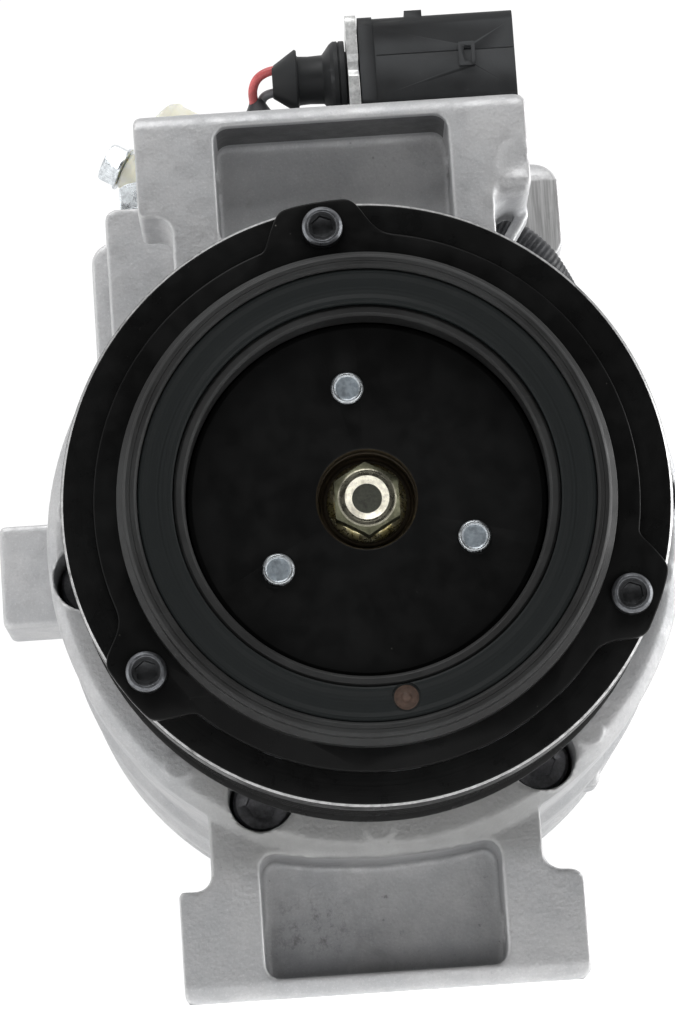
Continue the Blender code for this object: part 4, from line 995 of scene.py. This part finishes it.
def make_connector():
    yc, zc = 72.0, 107.2
    body = slab("plug_socket", (6.2, 40.1), (62.0, 82.0), (96.9, 118.0), 2.6, "X")
    add(body, slab("nub", (16.6, 20.4), (62.4, 68.0), (112.0, 119.0), 0.6, "X"))
    add(body, slab("nub", (27.8, 31.4), (60.6, 64.0), (105.2, 110.6), 0.4))
    # raised band behind the mouth and a part line half way up
    add(body, slab("band", (6.2, 9.4), (61.6, 82.4), (97.0, 118.3), 2.6, "X"))
    cut(body, slab("line", (9.9, 40.2), (61.0, 62.25), (108.9, 109.15)))
    cut(body, slab("window", (29.0, 30.6), (60.0, 61.3), (106.2, 109.6), 0.2))
    cut(body, slab("socket", (18.0, 45.0), (64.6, 79.4), (99.6, 115.2), 1.6, "X"))
    for dy in (-3.6, 3.6):
        add(body, slab("pin", (16.0, 33.0), (yc + dy - 0.7, yc + dy + 0.7), (106.0, 108.4)))
    bevel(body, 0.5, 3)
    finish(body, PLASTIC, "housing", "connector_body")

    # an upright with a notch in its front edge, a neck below it and a foot
    upright = [(61.0, 96.9, 0.6), (61.0, 104.6), (61.9, 106.0), (61.9, 108.0), (61.0, 109.4), (61.0, 118.6, 2.0),
               (83.0, 118.6, 2.0), (83.0, 98.0, 2.0), (75.4, 93.0, 1.0), (75.4, 79.0, 1.0), (69.4, 79.0),
               (69.4, 96.9, 1.0)]
    bracket = prism("sheet_bracket", fillet(upright, 5), 3.5, 5.9, "X")
    add(bracket, slab("foot", (4.6, 22.0), (69.4, 71.6), (79.6, 92.4), 1.6))
    cut(bracket, rod("hole", (0, yc, zc), (12, yc, zc), 6.4, 48))
    drill(bracket, 15, 86, 66, 80, 2.8, 32)
    bevel(bracket, 0.35, 3)
    mod = bracket.modifiers.new("fine", "SUBSURF")
    mod.subdivision_type = "SIMPLE"
    mod.levels = 1
    settle(bracket)
    finish(bracket, GALVANISED, "housing", "connector_bracket")

    profile = [(64.2, 0), (64.2, 2.4), (71.9, 2.4), (71.9, 4.4, 0.2), (73.6, 4.1, 0.8), (75.0, 2.6, 0.5), (75.0, 0)]
    screw = lathe("bracket_bolt", profile, 48, (15, 0, 86))
    cut(screw, prism("socket", hexagon(3.0, 0, (15, 86)), 73.0, 80))
    bevel(screw, 0.12, 2)
    finish(screw, ZINC, "housing", "bracket_screw")

    boot = [(-13.1, 0), (-13.1, 3.5, 0.2), (-9.4, 6.0, 0.3), (-7.9, 7.0, 0.25), (-7.5, 6.7, 0.1), (-7.5, 5.4, 0.4),
            (-5.0, 5.25), (-1.9, 5.4, 0.3), (-0.2, 7.6, 0.3), (0.6, 8.2, 0.25), (1.5, 8.2, 0.1), (1.7, 7.8, 0.1),
            (1.9, 8.2, 0.1), (3.1, 8.2, 0.25), (3.1, 5.8), (5.9, 5.8), (5.9, 0)]
    plug = lathe("wire_plug", boot, 72, (0, yc, zc), (1, 0, 0))
    for y, z in ((71.0, 109.6), (74.0, 105.4)):
        cut(plug, rod("hole", (-16, y, z), (-9.5, y, z), 1.4, 20))
    bevel(plug, 0.1, 2)
    finish(plug, PLUG, "housing", "connector_plug")


LEADS = {
    "lead_red": (RED, [(-10.0, 71.0, 109.6), (-13.4, 71.0, 109.6), (-16.2, 71.8, 108.4), (-17.5, 73.4, 106.2),
                       (-17.4, 75.0, 103.4), (-17.0, 75.6, 101.0)]),
    "lead_grey": (GREY, [(-10.0, 74.0, 105.4), (-13.2, 74.0, 105.4), (-15.2, 75.2, 104.9), (-16.2, 76.0, 103.0),
                         (-16.5, 76.2, 101.0)]),
}
SLEEVE_ROUTE = [(-16.8, 75.7, 104.3), (-16.6, 75.8, 101.6), (-16.4, 76.0, 98.8), (-16.6, 76.6, 94.0),
                (-14.4, 78.2, 86.5), (-6.0, 79.8, 79.0), (7.0, 80.2, 76.4), (20.0, 80.2, 76.0), (29.5, 80.0, 74.4),
                (36.6, 80.0, 71.2), (42.4, 80.8, 66.4), (46.0, 84.0, 61.5), (49.2, 90.0, 56.5), (52.2, 98.0, 51.8),
                (54.8, 107.0, 48.3), (57.4, 119.0, 45.6), (61.0, 138.0, 44.4), (66.4, 160.0, 46.8),
                (68.8, 175.0, 49.6), (70.2, 183.6, 48.4), (70.4, 186.0, 43.0), (70.4, 186.0, 36.6)]
LEAD_R = 1.02
MOUTH = 3.9  # the length over which the sleeve's end is drawn in round the wires
RIB_PITCH = 1.04


def make_leads():
    for name, (material, route) in LEADS.items():
        lead = tube(name + "_wire", even(smooth_line(route, 8), 0.35), lambda d: LEAD_R)
        finish(lead, material, "housing", name, angle=50)

    def ribbed(d):
        if d < MOUTH:
            return 1.7 + 2.14 * (d / MOUTH) ** 1.3
        return 3.84 + 0.12 * math.cos(2 * math.pi * (d - MOUTH) / RIB_PITCH)

    line = even(smooth_line(SLEEVE_ROUTE, 10), RIB_PITCH / 4)
    sleeve = tube("corrugated_sleeve", line, ribbed, 28)
    finish(sleeve, SLEEVING, "housing", "lead_sleeve", angle=0)


# ---- working parts kept from the frame
KEPT = {name: STEEL for name in ("bearing_outer_ring", "bearing_inner_ring", "bearing_balls", "shaft", "lug_plate",
                                 "swash_plate")}
KEPT.update(bearing_snap_ring=BOLT_STEEL, shaft_seal=SEAL)
for k in range(1, 7):
    KEPT.update({f"piston_{k}": MILLED_Y, f"shoe_front_{k}": STEEL, f"shoe_rear_{k}": STEEL})


def dress_kept():
    for name, material in KEPT.items():
        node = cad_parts[name]
        if not node.material_slots:
            node.data.materials.append(None)
        for slot in node.material_slots:
            slot.material = material


for make in (make_pulley, make_drive_plate, make_drive_screws, make_damper, make_hub, make_centre_bolt,
             make_front_housing, make_block, make_valve_plate, make_rear_head, make_through_bolts,
             make_transport_cover, make_boss_bolt, make_control_valve, make_connector, make_leads, dress_kept):
    make()


# ---- stage, light, camera
def stage_slab(name, x, y, z, tone, glow):
    """A plain block of floor, in the frame's metres; glow keeps it pale."""
    p = Paint(name + "_paint", shade(tone, 1.0), 0.0, 0.7, 0.2)
    p.base(p.noise(60.0, 3.0, 0.5), 0.3, 0.7, shade(tone, 0.985), shade(tone, 1.0))
    p.coat()
    p.set("Emission Color", (1.0, 1.0, 1.0, 1.0))
    p.set("Emission Strength", glow)
    bm = bmesh.new()
    bmesh.ops.create_cube(bm, size=1.0)
    for v in bm.verts:
        v.co = Vector([side[0] if c < 0 else side[1] for side, c in zip((x, y, z), v.co)])
    ob = as_object(name, bm)
    ob.data.materials.append(p.material)


def area(name, place, size, energy):
    """A soft box that faces the part."""
    light = bpy.data.lights.new(name, "AREA")
    light.shape = "RECTANGLE"
    light.size, light.size_y = size
    light.energy = energy
    ob = into_scene(name, light)
    ob.location = place
    ob.rotation_euler = (Vector((0.0, -0.03, 0.10)) - Vector(place)).to_track_quat("-Z", "Y").to_euler()


# The shelf ends under the front ear, because the camera looks up at the part.
stage_slab("floor_shelf", (-1.6, 1.6), (-0.0500, 1.9), (-0.06, 0.0), 0.90, 0.10)
stage_slab("floor_low", (-2.5, 2.5), (-2.6, 2.0), (-0.36, -0.30), 0.86, 0.18)
stage_slab("floor_edge", (-1.6, 1.6), (-0.0503, -0.0501), (-0.06, -0.0001), 0.9, 0.85)

world = bpy.data.worlds.new("studio")
bpy.context.scene.world = world
world.use_nodes = True
nodes, links = world.node_tree.nodes, world.node_tree.links
back = nodes["Background"]
sky = nodes.new("ShaderNodeTexCoord")
split = nodes.new("ShaderNodeSeparateXYZ")
ramp = nodes.new("ShaderNodeMapRange")
ramp.interpolation_type = "SMOOTHSTEP"
for socket, value in (("From Min", -0.45), ("From Max", 0.55), ("To Min", 0.10), ("To Max", 1.06)):
    ramp.inputs[socket].default_value = value
links.new(sky.outputs["Generated"], split.inputs["Vector"])
links.new(split.outputs["Y"], ramp.inputs["Value"])
links.new(ramp.outputs["Result"], back.inputs["Strength"])
back.inputs["Color"].default_value = (1.0, 1.0, 1.0, 1.0)

area("key_top", (-0.15, -0.55, 0.95), (0.9, 0.6), 6.6)
area("side_left", (-0.95, -0.35, 0.20), (0.5, 0.9), 2.5)
area("side_right", (0.95, -0.30, 0.20), (0.5, 0.9), 4.0)
area("rim_right", (0.80, 0.10, 0.10), (0.4, 0.6), 4.2)
area("fill_low", (0.0, -0.85, -0.20), (1.2, 0.3), 1.15)

camera_data = bpy.data.cameras.new("camera")
camera = into_scene("camera", camera_data)
bpy.context.scene.camera = camera
eye = at((-15.0, -800.0, -138.0))
aim = at((-5.98, 0.0, -1.80))
roll = Matrix.Rotation(math.radians(-3.88), 3, "Z")
camera.location = eye
camera.rotation_euler = ((aim - eye).to_track_quat("-Z", "Y").to_matrix() @ roll).to_euler()
camera_data.sensor_width = 36.0
camera_data.lens = 143.6
camera_data.clip_start = 0.05
camera_data.clip_end = 20.0

bpy.context.scene.view_settings.view_transform = "Standard"
bpy.context.scene.view_settings.look = "None"

bpy.context.view_layer.update()
